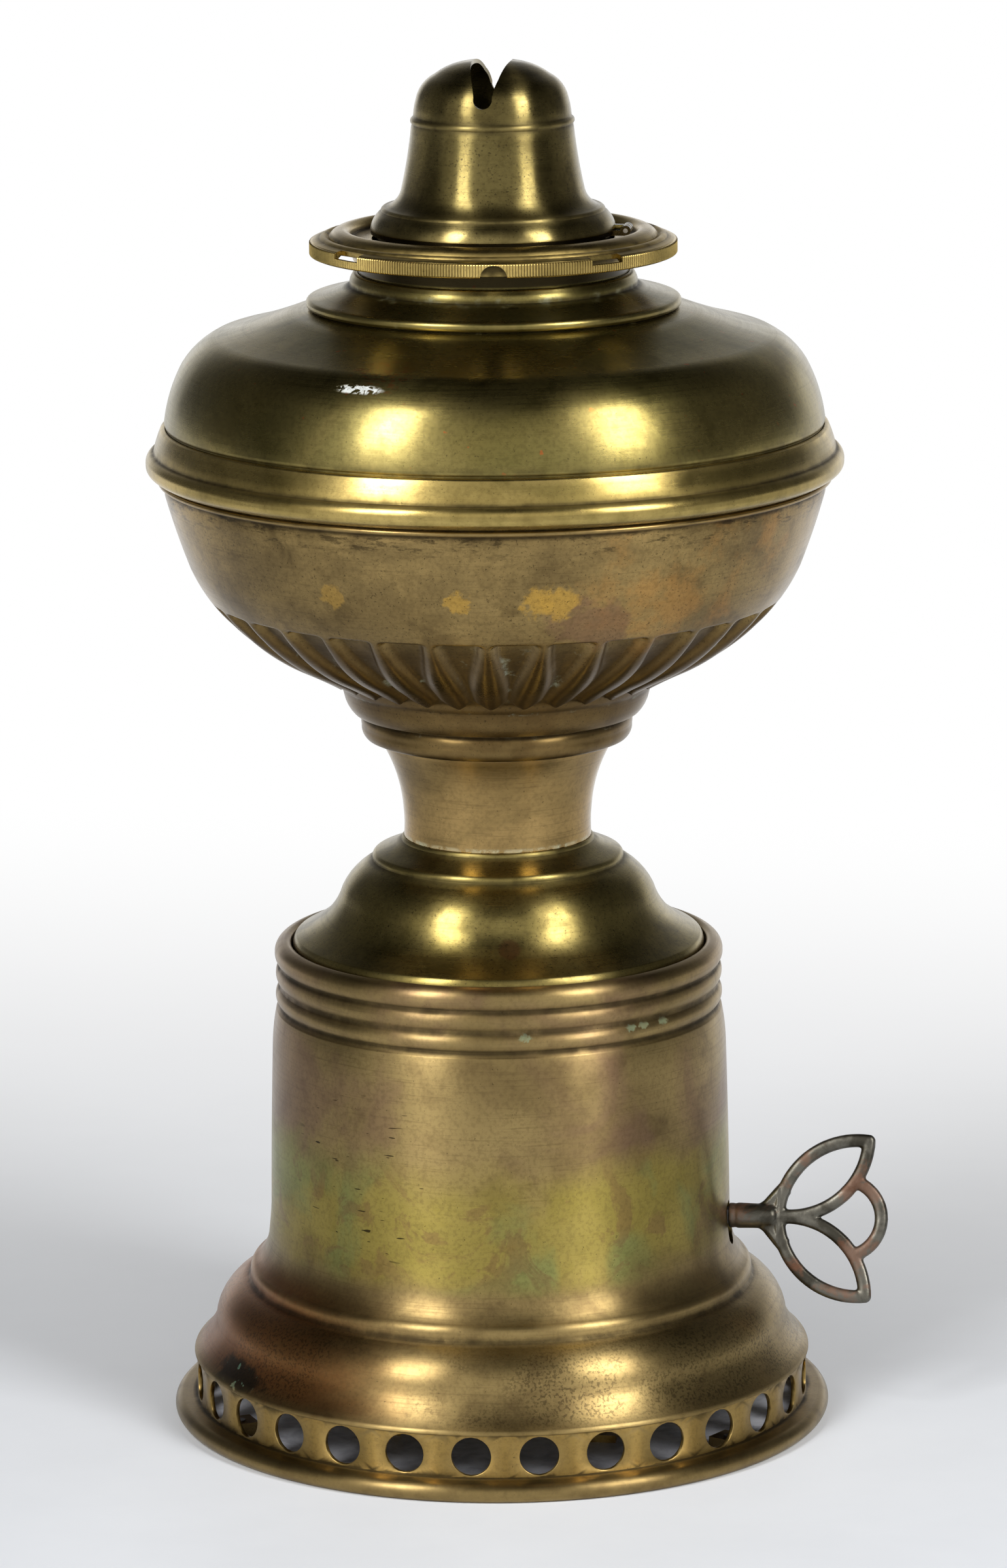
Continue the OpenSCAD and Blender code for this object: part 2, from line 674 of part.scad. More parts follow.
module gallery_ring() {
    color("#a8894a") difference() {
        union() {
            turned([[29.35, 255.6, 0], [30.1, 255.6, 0], [30.1, 259.3, 0], [37.6, 259, 0],
                [38.4, 258.4, 0], [38.5, 256.6, 0], [39.1, 256.6, 0],
                [gallery_r, 257.1, 0.1], [gallery_r, 259.3, 0], [38.9, 259.9, 0.12],
                [37.2, 260.2, 0], [36.4, 260.8, 0.15], [35.6, 260.5, 0.15],
                [35.2, 260.3, 0], [35.2, 260.6, 0], [32.6, 262.2, 0.35], [30.5, 261, 0.45],
                [30.4, 260.1, 0], [25.9, 260.1, 0], [25.9, 259.3, 0], [29.35, 259.3, 0]]);
            translate([0, 0, 259.3]) around(gallery_crown_n, crown_start)
                crown_tooth(gallery_crown_r + 0.05, 0.9, 1.05, 0.42, 0.16);
        }
        around(4, 45) translate([37.4, -4, 258.2]) cube([3, 8, 3.2]);
        rotate([0, 0, -82.5]) translate([36, 0, 256.5]) rotate([0, 90, 0])
            cylinder(r = 2.9, h = 5);
        around(knurl_count) translate([gallery_r - 0.28, 0, 257.35])
            rotate([0, 0, -45]) cube([0.5, 0.5, 1.7]);
    }
}

cap_outside = [[26.3, cap_foot_z, 0], [26.2, 262.6, 0], [23.5, 266.6, 0.4],
    [23.2, 266.7, 0], [19.65, 270.3, -0.62], [17.4, 283.6, -0.2], [17.2, 284.5, 0],
    [17.2, 285.8, 0.35], [16.9, 286.1, 0], [16.3, 289.8, 0.12], [12.4, 294.9, 0.75],
    [6, 297.6, 0.45], [0, 298, 0.1]];
cap_inside = [[0, 297.1, 0], [6, 296.7, -0.1], [11.7, 294.3, -0.45], [15.4, 289.6, -0.75],
    [16.2, 285.5, 0], [16.5, 283, 0], [18.8, 270, 0.2], [22.6, 265.9, 0.6], [25.3, 262.6, -0.3],
    [25.3, cap_foot_z, 0]];

// Boat-shaped flame slot, drawn in plan: two arcs that meet in round ends
module slot_drawing() {
    shift = slot_arc_r - slot_w / 2;
    intersection() {
        translate([shift, 0]) circle(r = slot_arc_r);
        translate([-shift, 0]) circle(r = slot_arc_r);
        square([20, 33], center = true);
    }
}

module cap() {
    color("#8f7d42") difference() {
        union() {
            turned(concat(cap_outside, cap_inside));
            translate([25.4, -0.9, cap_foot_z]) cube([hinge_x - 25.4, 1.8, 1.1]);
            bar_y(-0.9, 0.9, hinge_x, hinge_z, knuckle_r);
        }
        translate([0, 0, slot_foot_z]) linear_extrude(10) slot_drawing();
        for (s = [-1, 1]) translate([0, s * 14, slot_foot_z]) rotate([90, 0, 0])
            cylinder(r = 1.9, h = 8, center = true);
        bar_y(-2, 2, hinge_x, hinge_z, hinge_pin_r + running);
    }
}

base_casing();
bottom_cover();
cover_lugs();
cover_screws();
movement_feet();
front_plate();
back_plate();
plate_pillars();
plate_screws();
mainspring();
spring_post();
winding_arbor();
ratchet_wheel();
wheel_washer();
key();
great_wheel();
click_screw();
click_spring();
click();
second_arbor();
second_wheel();
third_arbor();
third_wheel();
contrate_arbor();
contrate_wheel();
fan_bridge();
fan_potence();
fan_arbor();
fan_collar();
fan();
shoulder_dome();
stem();
lower_bowl();
belt_ring();
upper_bowl();
font_collar();
oil_tank();
tank_stays();
burner_plate();
burner_neck();
spindle_bearings();
wick_tube();
wick_spindle();
wick();
cap_seat();
gallery_ring();
cap();
hinge_pin();
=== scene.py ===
"""Clockwork draught lamp: aged brass shells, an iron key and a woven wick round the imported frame.

Lengths in the outlines are millimetres from the lamp's axis and from the floor, as in the part's source.
Azimuths are degrees round the lamp from -Y, which faces the viewer, towards +X, where the key is.
"""
import json
import math

import bmesh
import bpy
import numpy as np
from mathutils import Matrix, Vector


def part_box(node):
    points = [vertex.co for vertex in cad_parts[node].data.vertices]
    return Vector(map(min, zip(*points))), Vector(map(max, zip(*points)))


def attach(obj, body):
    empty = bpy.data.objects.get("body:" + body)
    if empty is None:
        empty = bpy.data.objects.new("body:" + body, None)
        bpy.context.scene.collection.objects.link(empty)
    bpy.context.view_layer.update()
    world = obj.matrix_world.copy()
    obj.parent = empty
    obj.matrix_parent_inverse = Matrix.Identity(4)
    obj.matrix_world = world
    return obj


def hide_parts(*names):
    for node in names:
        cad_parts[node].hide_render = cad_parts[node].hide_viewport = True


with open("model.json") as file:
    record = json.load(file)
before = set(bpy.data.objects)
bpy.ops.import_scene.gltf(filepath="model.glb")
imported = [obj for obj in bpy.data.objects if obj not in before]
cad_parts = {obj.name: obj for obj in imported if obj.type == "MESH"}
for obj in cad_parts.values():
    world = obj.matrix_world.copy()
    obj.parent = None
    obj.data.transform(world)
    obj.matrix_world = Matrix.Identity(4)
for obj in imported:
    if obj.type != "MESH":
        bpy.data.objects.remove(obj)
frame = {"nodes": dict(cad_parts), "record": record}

MM = 0.001
FULL_TURN = 2 * math.pi
scene = bpy.context.scene
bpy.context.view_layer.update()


# ---- Node graphs ----

class Graph:
    """Short calls for building a node tree. place is the point on the piece in metres."""

    def __init__(self, tree):
        self.tree = tree
        tree.nodes.clear()
        self.where = self.new("TexCoord")
        self.place = self.where.outputs["Object"]

    def new(self, kind, inputs=(), **settings):
        """A node of that kind; inputs maps a socket to a value or to another node's socket."""
        made = self.tree.nodes.new("ShaderNode" + kind)
        for key, value in settings.items():
            setattr(made, key, value)
        for key, value in dict(inputs).items():
            if isinstance(value, bpy.types.NodeSocket):
                self.tree.links.new(value, made.inputs[key])
            else:
                made.inputs[key].default_value = value
        return made

    def math(self, operation, a, b=0.0, clamp=False):
        return self.new("Math", {0: a, 1: b}, operation=operation, use_clamp=clamp).outputs[0]

    def times(self, *factors):
        """The product of values and masks."""
        product = factors[0]
        for factor in factors[1:]:
            product = self.math("MULTIPLY", product, factor)
        return product

    def span(self, value, low, high, to_low=0.0, to_high=1.0):
        """value moved smoothly from low..high to to_low..to_high, and held there outside it."""
        inputs = {"Value": value, "From Min": low, "From Max": high, "To Min": to_low, "To Max": to_high}
        return self.new("MapRange", inputs, interpolation_type="SMOOTHSTEP").outputs[0]

    def mix(self, amount, a, b):
        return self.new("Mix", {0: amount, 6: a, 7: b}, data_type="RGBA").outputs[2]

    def tint(self, tone, mask, strength, other):
        """tone with the other colour over it at that strength where the mask is."""
        return self.mix(self.times(mask, strength), tone, other)

    def noise(self, scale, detail=4.0, roughness=0.55, distortion=0.0, at=None):
        inputs = {"Vector": at or self.place, "Scale": scale, "Detail": detail, "Roughness": roughness,
                  "Distortion": distortion}
        return self.new("TexNoise", inputs).outputs[0]

    def scaled(self, vector, factors):
        return self.new("VectorMath", {0: vector, 1: factors}, operation="MULTIPLY").outputs[0]

    def length(self, vector):
        return self.new("VectorMath", {0: vector}, operation="LENGTH").outputs["Value"]

    def parts(self, vector):
        """The x, y and z of a vector."""
        return self.new("SeparateXYZ", {0: vector}).outputs

    def mark(self, key):
        return self.new("Attribute", attribute_name=key).outputs["Fac"]


def colour(red, green, blue):
    """An sRGB colour of 0..255 channels as linear RGBA."""
    channels = [c / 255 for c in (red, green, blue)]
    return (*[c / 12.92 if c <= 0.04045 else ((c + 0.055) / 1.055) ** 2.4 for c in channels], 1)


# ---- Camera and studio ----

CAMERA_AZIMUTH = math.radians(7.5)
CAMERA_DISTANCE = 1.4926
CAMERA_HEIGHT = 0.4658
CAMERA_PITCH = math.radians(12.3)
CAMERA_ROLL = math.radians(0.435)
CAMERA_LENS = 161.4
CAMERA_SHIFT = 0.0039
ROOM_FRONT = 0.95
ROOM_SIDES = 0.1
ROOM_ABOVE_BACK = 0.3
ROOM_CEILING = 0.03
FRONT_EDGE = (-0.7, -0.25)
BACK_EDGE = (0.7, 0.93)
BACK_TOP = (0.08, 0.3)
CEILING_EDGE = (0.45, 0.85)
FLOOR_SIZE = 12.0
FLOOR_FADE = (-0.1, 0.6)
LIT_POINT = Vector((0, 0, 0.17))
# name, azimuth from the camera and elevation in degrees, distance, width and height, watts
SOFTBOXES = (("left_softbox", -40, 34, 1.3, (0.32, 0.72), 11),
             ("right_softbox", 48, 33, 1.3, (0.36, 0.72), 11.5))


def on_circle(azimuth, radius, height):
    """The point at that azimuth in radians, radius and height."""
    return Vector((radius * math.sin(azimuth), -radius * math.cos(azimuth), height))


def make_camera():
    data = bpy.data.cameras.new("camera")
    data.sensor_width = 36
    data.lens = CAMERA_LENS
    data.shift_x = CAMERA_SHIFT
    camera = bpy.data.objects.new("camera", data)
    scene.collection.objects.link(camera)
    camera.matrix_world = (Matrix.Translation(on_circle(CAMERA_AZIMUTH, CAMERA_DISTANCE, CAMERA_HEIGHT))
                           @ Matrix.Rotation(CAMERA_AZIMUTH, 4, "Z")
                           @ Matrix.Rotation(math.pi / 2 - CAMERA_PITCH, 4, "X")
                           @ Matrix.Rotation(-CAMERA_ROLL, 4, "Z"))
    scene.camera = camera


def make_world():
    """White to the eye; to the brass a white wall behind, a soft front, dim sides and a dark ceiling."""
    world = bpy.data.worlds.new("studio")
    scene.world = world
    world.use_nodes = True
    g = Graph(world.node_tree)
    _, depth, height = g.parts(g.where.outputs["Generated"])
    front = g.span(depth, *FRONT_EDGE, ROOM_FRONT, ROOM_SIDES)
    back = g.times(g.span(depth, *BACK_EDGE), g.span(height, *BACK_TOP, 1.0, ROOM_ABOVE_BACK))
    ceiling = g.span(height, *CEILING_EDGE, 1.0, ROOM_CEILING)
    room = g.times(g.math("ADD", front, back), ceiling)
    seen = g.new("LightPath").outputs["Is Camera Ray"]
    strength = g.new("Mix", {0: seen, 2: room, 3: 1.0}, data_type="FLOAT").outputs[0]
    light = g.new("Background", {"Color": (1, 1, 1, 1), "Strength": strength})
    g.new("OutputWorld", {"Surface": light.outputs[0]})


def make_floor():
    """Pale paper that fades to white behind the lamp."""
    mesh = bpy.data.meshes.new("floor")
    half = FLOOR_SIZE / 2
    corners = [(-half, -half, 0), (half, -half, 0), (half, half, 0), (-half, half, 0)]
    mesh.from_pydata(corners, [], [(0, 1, 2, 3)])
    floor = bpy.data.objects.new("floor", mesh)
    scene.collection.objects.link(floor)
    material = bpy.data.materials.new("floor_paper")
    material.use_nodes = True
    g = Graph(material.node_tree)
    behind = g.parts(g.place)[1]
    clouds = g.span(g.noise(9, 5, 0.6), 0.3, 0.7)
    mottled = g.mix(clouds, colour(233, 236, 241), colour(239, 242, 247))
    grain = g.new("Bump", {"Strength": 0.05, "Distance": 0.0004, "Height": g.noise(1800, 3)})
    paper = g.new("BsdfPrincipled", {"Base Color": mottled, "Roughness": 0.62, "Normal": grain.outputs[0]})
    glow = g.new("Emission", {"Color": (1, 1, 1, 1), "Strength": 1.0})
    faded = g.new("MixShader", {0: g.span(behind, *FLOOR_FADE), 1: paper.outputs[0], 2: glow.outputs[0]})
    g.new("OutputMaterial", {"Surface": faded.outputs[0]})
    mesh.materials.append(material)


def softbox(name, azimuth, elevation, distance, size, power):
    """A rectangular light that faces the middle of the lamp."""
    data = bpy.data.lights.new(name, "AREA")
    data.shape = "RECTANGLE"
    data.size, data.size_y = size
    data.energy = power
    lamp = bpy.data.objects.new(name, data)
    scene.collection.objects.link(lamp)
    azimuth = CAMERA_AZIMUTH + math.radians(azimuth)
    elevation = math.radians(elevation)
    away = on_circle(azimuth, distance * math.cos(elevation), distance * math.sin(elevation))
    lamp.location = LIT_POINT + away
    lamp.rotation_euler = away.to_track_quat("Z", "Y").to_euler()
    lamp.visible_camera = False


make_camera()
make_world()
make_floor()
for light in SOFTBOXES:
    softbox(*light)
scene.view_settings.view_transform = "Standard"


# ---- Outlines and turned pieces ----

ARC_STEP = math.radians(9)
LONGEST_STEP = 1.6
EDGE_ROUNDING = 0.22
EDGE_SHARE = 0.45
ROUNDED_FROM = math.radians(25)
MARK_REACH = 0.8
HOLLOW_TURN = 1.2
SHARP_TURN = 1.4
CREASE = math.radians(40)


def arc(p, q, bulge):
    """Points after p up to q; the arc bulges by that much to the right of the way it runs."""
    p, q = Vector(p), Vector(q)
    chord = q - p
    if abs(bulge) < 1e-6:
        count = max(1, math.ceil(chord.length / LONGEST_STEP))
        return [p + chord * (k / count) for k in range(1, count + 1)]
    half = chord.length / 2
    radius = (half * half + bulge * bulge) / (2 * abs(bulge))
    along = chord.normalized()
    out = Vector((along.y, -along.x)) * math.copysign(1, bulge)
    centre = (p + q) / 2 - out * (radius - abs(bulge))
    spread = math.asin(min(1, half / radius))
    count = max(2, math.ceil(2 * spread / ARC_STEP), math.ceil(2 * half / LONGEST_STEP))
    angles = [spread * (2 * k / count - 1) for k in range(1, count + 1)]
    return [centre + radius * (math.sin(a) * along + math.cos(a) * out) for a in angles]


def rounded(loop):
    """The closed loop with each clear corner replaced by a small round."""
    made = []
    for i, point in enumerate(loop):
        before, after = loop[i - 1] - point, loop[(i + 1) % len(loop)] - point
        if point.x < 1e-6 or math.pi - before.angle(after) < ROUNDED_FROM:
            made.append(point)
            continue
        trim = min(EDGE_ROUNDING, before.length * EDGE_SHARE, after.length * EDGE_SHARE)
        start, end = point + before.normalized() * trim, point + after.normalized() * trim
        for t in (0, 0.25, 0.5, 0.75, 1):
            made.append((1 - t) ** 2 * start + 2 * t * (1 - t) * point + t * t * end)
    return made


def outline(rows):
    """A closed loop of points from [radius, height] or [radius, height, bulge] rows."""
    loop = [Vector(rows[0][:2])]
    for before, row in zip(rows, rows[1:]):
        loop += arc(before[:2], row[:2], row[2] if len(row) > 2 else 0)
    if (loop[-1] - loop[0]).length > 1e-6:
        loop += arc(loop[-1], loop[0], 0)[:-1]
    else:
        loop.pop()
    return rounded(loop)


def corner_marks(loop):
    """For each point, how far the section is hollow and how far it is sharp near by, 0 to 1."""
    points = np.array(loop)
    before, after = points - np.roll(points, 1, 0), np.roll(points, -1, 0) - points
    turn = np.arctan2(before[:, 0] * after[:, 1] - before[:, 1] * after[:, 0], (before * after).sum(1))
    following = np.roll(points, -1, 0)
    area = np.sum(points[:, 0] * following[:, 1] - following[:, 0] * points[:, 1])
    turn = turn * math.copysign(1, area)
    turn[points[:, 0] < 0.01] = 0
    gap = np.linalg.norm(points[:, None] - points[None], axis=2)
    near = np.exp(-(gap / MARK_REACH) ** 2)
    hollow = np.clip(near @ np.clip(-turn, 0, None) / HOLLOW_TURN, 0, 1)
    sharp = np.clip(near @ np.clip(turn, 0, None) / SHARP_TURN, 0, 1)
    return hollow, sharp


def new_piece(name, vertices, faces, marks=None):
    """A smooth mesh object from millimetre vertices; marks are its hollow and sharp attributes."""
    mesh = bpy.data.meshes.new(name)
    mesh.from_pydata([tuple(v) for v in np.asarray(vertices, float) * MM], [], faces)
    for key, values in (marks or {}).items():
        mesh.attributes.new(key, "FLOAT", "POINT").data.foreach_set("value", np.asarray(values, np.float32))
    tidy = bmesh.new()
    tidy.from_mesh(mesh)
    bmesh.ops.remove_doubles(tidy, verts=tidy.verts, dist=1e-7)
    bmesh.ops.recalc_face_normals(tidy, faces=tidy.faces)
    tidy.to_mesh(mesh)
    tidy.free()
    mesh.shade_smooth()
    piece = bpy.data.objects.new(name, mesh)
    scene.collection.objects.link(piece)
    return piece


def tube_faces(rings, count):
    """Quads between each ring of points and the next."""
    around = [(i, (i + 1) % count) for i in range(count)]
    return [(r * count + i, r * count + j, (r + 1) * count + j, (r + 1) * count + i)
            for r in range(rings - 1) for i, j in around]


def turned_faces(loop, columns, skip=None):
    """Quads round the axis between one loop point and the next. new_piece closes them on the axis."""
    faces = []
    for i in range(len(loop)):
        j = (i + 1) % len(loop)
        if (loop[i].x < 1e-6 and loop[j].x < 1e-6) or (skip and skip(loop[i], loop[j])):
            continue
        for c in range(columns):
            d = (c + 1) % columns
            faces.append((i * columns + c, i * columns + d, j * columns + d, j * columns + c))
    return faces


def turned(name, rows, columns=256, start=0.0, relief=None, skip=None):
    """A turned piece. relief changes its grid of radii and heights and their hollow and sharp marks."""
    loop = outline(rows)
    hollow, sharp = corner_marks(loop)
    azimuths = start + np.arange(columns) * FULL_TURN / columns
    radius = np.array([p.x for p in loop])[:, None] * np.ones(columns)
    height = np.array([p.y for p in loop])[:, None] * np.ones(columns)
    hollow, sharp = hollow[:, None] * np.ones(columns), sharp[:, None] * np.ones(columns)
    if relief:
        radius, height, hollow, sharp = relief(loop, azimuths, radius, height, hollow, sharp)
    points = np.stack([radius * np.sin(azimuths), -radius * np.cos(azimuths), height], -1)
    marks = {"hollow": hollow.ravel(), "sharp": sharp.ravel()}
    return new_piece(name, points.reshape(-1, 3), turned_faces(loop, columns, skip), marks)


def stand_in(piece, node, slot, body):
    """piece rides on the body, takes that slot's material and is shown instead of the CAD node."""
    piece.data.materials.append(MATERIALS[slot])
    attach(piece, body)
    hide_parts(node)


def joined(name, pieces):
    """Several mesh objects made into the first one."""
    target = pieces[0]
    merged = bmesh.new()
    for piece in pieces:
        merged.from_mesh(piece.data)
    bmesh.ops.remove_doubles(merged, verts=merged.verts, dist=2e-6)
    bmesh.ops.recalc_face_normals(merged, faces=merged.faces)
    merged.to_mesh(target.data)
    merged.free()
    target.data.shade_smooth()
    for piece in pieces[1:]:
        bpy.data.objects.remove(piece)
    target.name = name
    return target


def with_modifier(piece, kind, **settings):
    """Applies that modifier to the piece's mesh."""
    modifier = piece.modifiers.new(kind, kind)
    for key, value in settings.items():
        setattr(modifier, key, value)
    bpy.context.view_layer.update()
    shaped = piece.evaluated_get(bpy.context.evaluated_depsgraph_get())
    mesh = bpy.data.meshes.new_from_object(shaped)
    piece.modifiers.clear()
    piece.data = mesh


def cut(piece, cutter):
    """Takes the cutter's volume out of the piece."""
    with_modifier(piece, "BOOLEAN", object=cutter, operation="DIFFERENCE", solver="EXACT")
    bpy.data.objects.remove(cutter)
    piece.data.shade_smooth()
    piece.data.set_sharp_from_angle(angle=CREASE)


def prism(name, drawing, low, high, axis="Z"):
    """A straight solid over a closed drawing: heights along Z, or [y, z] drawings along X."""
    count = len(drawing)
    if axis == "Z":
        points = [(x, y, h) for h in (low, high) for x, y in drawing]
    else:
        points = [(h, y, z) for h in (low, high) for y, z in drawing]
    faces = [tuple(range(count)), tuple(range(2 * count - 1, count - 1, -1))]
    faces += [(i, (i + 1) % count, count + (i + 1) % count, count + i) for i in range(count)]
    return new_piece(name, points, faces)


# ---- Base casing ----

VENT_COUNT = 29
VENT_RADIUS = 4.2
VENT_HEIGHT = 9.0
VENT_START = math.radians(1.8)
BAND_OUTSIDE, BAND_INSIDE = 67.3, 66.3
BAND_LOW, BAND_HIGH = 4.3, 13.5
BAND_LOW_INSIDE, BAND_HIGH_INSIDE = 4.2, 13.6
# how much wider the hole is at each share of the wall's thickness, and how worn each ring of points is
VENT_LIP = ((0.2, 0), (0.07, 0.08), (0, 0.3), (0, 0.75), (0.1, 1))
VENT_WEAR = (0, 0.5, 0.9, 0.3, 0, 0, 0)
SECTOR_COLUMNS = 10
SECTOR_ROWS = 8
KEYHOLE_RADIUS = 3.3
KEYHOLE_DROP = 3.2
KEYHOLE_REACH = (40, 60)
ARBOR_HEIGHT = 44.7
CASING = [
    [69.46, 0], [70.74, 0], [72.2, 2, 0.4], [70.1, 4.1, 0.61], [BAND_OUTSIDE, BAND_LOW],
    [BAND_OUTSIDE, BAND_HIGH], [67.8, 13.9, 0.1], [67.2, 14.9, 0.15], [62.9, 21.2, -0.45],
    [55.6, 30.3, 1.85], [55.2, 30.9], [55.2, 32.2], [53.9, 34.1, 0.35], [50.9, 41.2, -0.75],
    [50.4, 47, -0.05], [49.6, 84, 0.1], [48.7, 91.2, 0.15], [47.95, 92.5, -0.1], [47.95, 96.2, 0.85],
    [47.95, 97.1], [48, 101.1, 0.75], [48, 101.5], [48.9, 103.7, 0.3], [46.9, 106.3, 0.6],
    [45.4, 105.9, 0.25], [45.2, 104.6], [47.2, 104.2], [47.2, 100.4], [43.9, 100.4],
    [43.9, 99.5], [47.2, 99.2], [47.5, 91], [48.7, 84], [49.5, 47], [50, 41], [52.8, 33.9, 0.5],
    [54.2, 31.9], [54.3, 29.7], [61.8, 21, -1.7], [BAND_INSIDE, BAND_HIGH_INSIDE, 0.4],
    [BAND_INSIDE, BAND_LOW_INSIDE], [68.3, 1.6]]


def on_line(point, radius):
    return abs(point.x - radius) < 1e-4


def in_band(p, q):
    """True for the steps of the section that run straight up or down the vented band."""
    return any(on_line(p, radius) and on_line(q, radius) for radius in (BAND_OUTSIDE, BAND_INSIDE))


def band_ends(radius):
    """The lowest and highest point of the band on that side, where the edges' rounding starts."""
    heights = [p.y for p in outline(CASING) if on_line(p, radius)]
    return min(heights), max(heights)


def vent_patch(azimuth):
    """One sector of the band, inside and outside, with its round hole between them."""
    half = math.pi / VENT_COUNT

    def edge(low, high):
        """The sector's border as (turn from its middle, height), from the lower left corner round."""
        across = [half * (2 * k / SECTOR_COLUMNS - 1) for k in range(SECTOR_COLUMNS)]
        upward = [low + (high - low) * k / SECTOR_ROWS for k in range(SECTOR_ROWS)]
        downward = [low + (high - low) * (1 - k / SECTOR_ROWS) for k in range(SECTOR_ROWS)]
        return ([(a, low) for a in across] + [(half, h) for h in upward]
                + [(-a, high) for a in across] + [(-half, h) for h in downward])

    def on_band(x, z, radius):
        return math.sqrt(radius * radius - x * x), x, z

    border = edge(*band_ends(BAND_OUTSIDE))
    inner_border = edge(*band_ends(BAND_INSIDE))
    ways = []
    for a, h in border:
        across, up = BAND_OUTSIDE * math.sin(a), h - VENT_HEIGHT
        length = math.hypot(across, up)
        ways.append((across / length, up / length))
    rings = [[on_band(BAND_OUTSIDE * math.sin(a), h, BAND_OUTSIDE) for a, h in border]]
    for grow, depth in VENT_LIP:
        reach = VENT_RADIUS + grow
        rings.append([])
        for across, up in ways:
            out, x, z = on_band(reach * across, VENT_HEIGHT + reach * up, BAND_OUTSIDE)
            rings[-1].append((out - depth * (BAND_OUTSIDE - BAND_INSIDE), x, z))
    rings.append([on_band(BAND_INSIDE * math.sin(a), h, BAND_INSIDE) for a, h in inner_border])
    count = len(border)
    sine, cosine = math.sin(azimuth), math.cos(azimuth)
    points = [(out * sine + x * cosine, x * sine - out * cosine, z) for ring in rings for out, x, z in ring]
    return points, tube_faces(len(rings), count), [value for value in VENT_WEAR for _ in range(count)]


def make_casing():
    start = VENT_START + math.pi / VENT_COUNT
    shell = turned("casing_shell", CASING, VENT_COUNT * SECTOR_COLUMNS, start, skip=in_band)
    points, faces, sharp = [], [], []
    for k in range(VENT_COUNT):
        more, patch, rim = vent_patch(VENT_START + k * FULL_TURN / VENT_COUNT)
        faces += [tuple(i + len(points) for i in face) for face in patch]
        points += more
        sharp += rim
    band = new_piece("vented_band", points, faces, {"hollow": [0] * len(points), "sharp": sharp})
    casing = joined("base_casing_shell", [shell, band])
    steps = [math.pi * k / 16 for k in range(17)]
    slot = [(KEYHOLE_RADIUS * math.cos(a), ARBOR_HEIGHT + KEYHOLE_RADIUS * math.sin(a)) for a in steps]
    slot += [(-KEYHOLE_RADIUS * math.cos(a), ARBOR_HEIGHT - KEYHOLE_DROP - KEYHOLE_RADIUS * math.sin(a))
             for a in steps]
    cut(casing, prism("keyhole", slot, *KEYHOLE_REACH, "X"))
    stand_in(casing, "base_casing", "casing_brass", "root")


# ---- Stem and font ----

DOME = [[44.9, 100.4], [44.9, 105.5], [44.2, 107.4, 0.15], [38, 111.2, -0.2], [34, 117.7, -0.5],
        [28, 123.9, 0.7], [27.3, 124.4], [26.5, 126, 0.35], [25, 126.6], [21, 128.6, -0.15],
        [20.6, 129.4, 0.1], [19.3, 129.4], [19.3, 128.5], [20.1, 127.7], [24.1, 125.7],
        [26.4, 123.5], [27.1, 123, -0.3], [33.1, 116.8, -0.7], [37.1, 110.3, 0.5], [43.3, 106.5, 0.2],
        [44, 104.6, -0.15], [44, 100.4]]
STEM = [[19.5, 129.4], [20.4, 129.4], [20.45, 135.5, -0.15], [25.2, 150.6, -0.95], [25.2, 150.7],
        [24.2, 150.7], [19.5, 135.5, 0.95]]
BELT = [[71.4, 209.3], [72.4, 209.3], [74.2, 210.2, 0.1], [75.1, 212, 0.3], [74, 214.3, 0.4],
        [73.4, 214.5], [73.3, 215.2], [71.8, 219.6, 0.1], [71.3, 219.9], [70.8, 219.9],
        [70.8, 214.1], [71.4, 214.1]]
UPPER_BOWL = [[69.7, 214.6], [70.7, 214.6], [70.7, 220.2], [71, 221.2, 0.1], [67.2, 233, 0.57],
              [60.7, 239, 0.62], [44, 244.2, -0.3], [39, 245.2], [39, 244.3], [44, 243.3],
              [60.1, 238.2, 0.3], [66.3, 232.6, -0.55], [70, 221.2, -0.5]]
COLLAR = [[27.6, 243.8], [38.9, 243.8], [38.9, 245.3], [39.6, 245.4], [40.2, 246.3, 0.2],
          [39.5, 247.4, 0.25], [37.4, 247.8], [31.3, 249.9, -0.15], [30.9, 250.1],
          [30.3, 252.4, 0.2], [29.7, 252.9, 0.12], [29.1, 252.9], [29.1, 247.6], [27.6, 247.6]]
NECK = [[28.2, 247.6], [29, 247.6], [29, 259.1], [28.2, 259.1]]

FLUTE_COUNT = 32
FLUTE_COLUMNS = 22
FLUTE_STEP = 0.42
FLUTED_BELOW = 200
FLUTE_DEPTH = 1.9
FLUTE_GRIME = 0.62
FLUTE_ENDS = (-0.06, 0.02, 0.955, 1.0)
TONGUE_NOSE = 0.13
CREST_STEP, CREST_WIDTH = 0.07, 0.035
FLUTE_FOOT = Vector((35.6, 163.9))
FLUTE_TOP = Vector((62.0, 183.3))
BELLY = [[34.2, 163.2], [43.3, 168, -0.12], [57.5, 178, 0.8], [66, 190, 0.75], [71.1, 205.5, 0.2]]
BOWL = [[20, 150.7], [25.4, 150.7], [28.4, 151.6, 0.15], [29.3, 154.2, 0.35], [28.9, 156.6, 0.3],
        [28.9, 157], [31, 157.2, 0.1], [33.1, 161.2, 0.35], [33.6, 162.7, -0.05], *BELLY,
        [71.2, 207.6], [72.3, 208], [72.3, 208.9, 0.3], [71.3, 209.2], [71.3, 214],
        [70.4, 214], [70.2, 205.5], [65, 190.4, -0.2], [59.3, 184.6], [55.3, 180.6], [49, 176],
        [41.4, 170.9], [33, 166.8], [32.2, 161.4], [30.4, 158.4], [27.9, 158], [27.9, 152.6], [20, 152.2]]


def smooth(value, low, high):
    t = np.clip((value - low) / (high - low), 0, 1)
    return t * t * (3 - 2 * t)


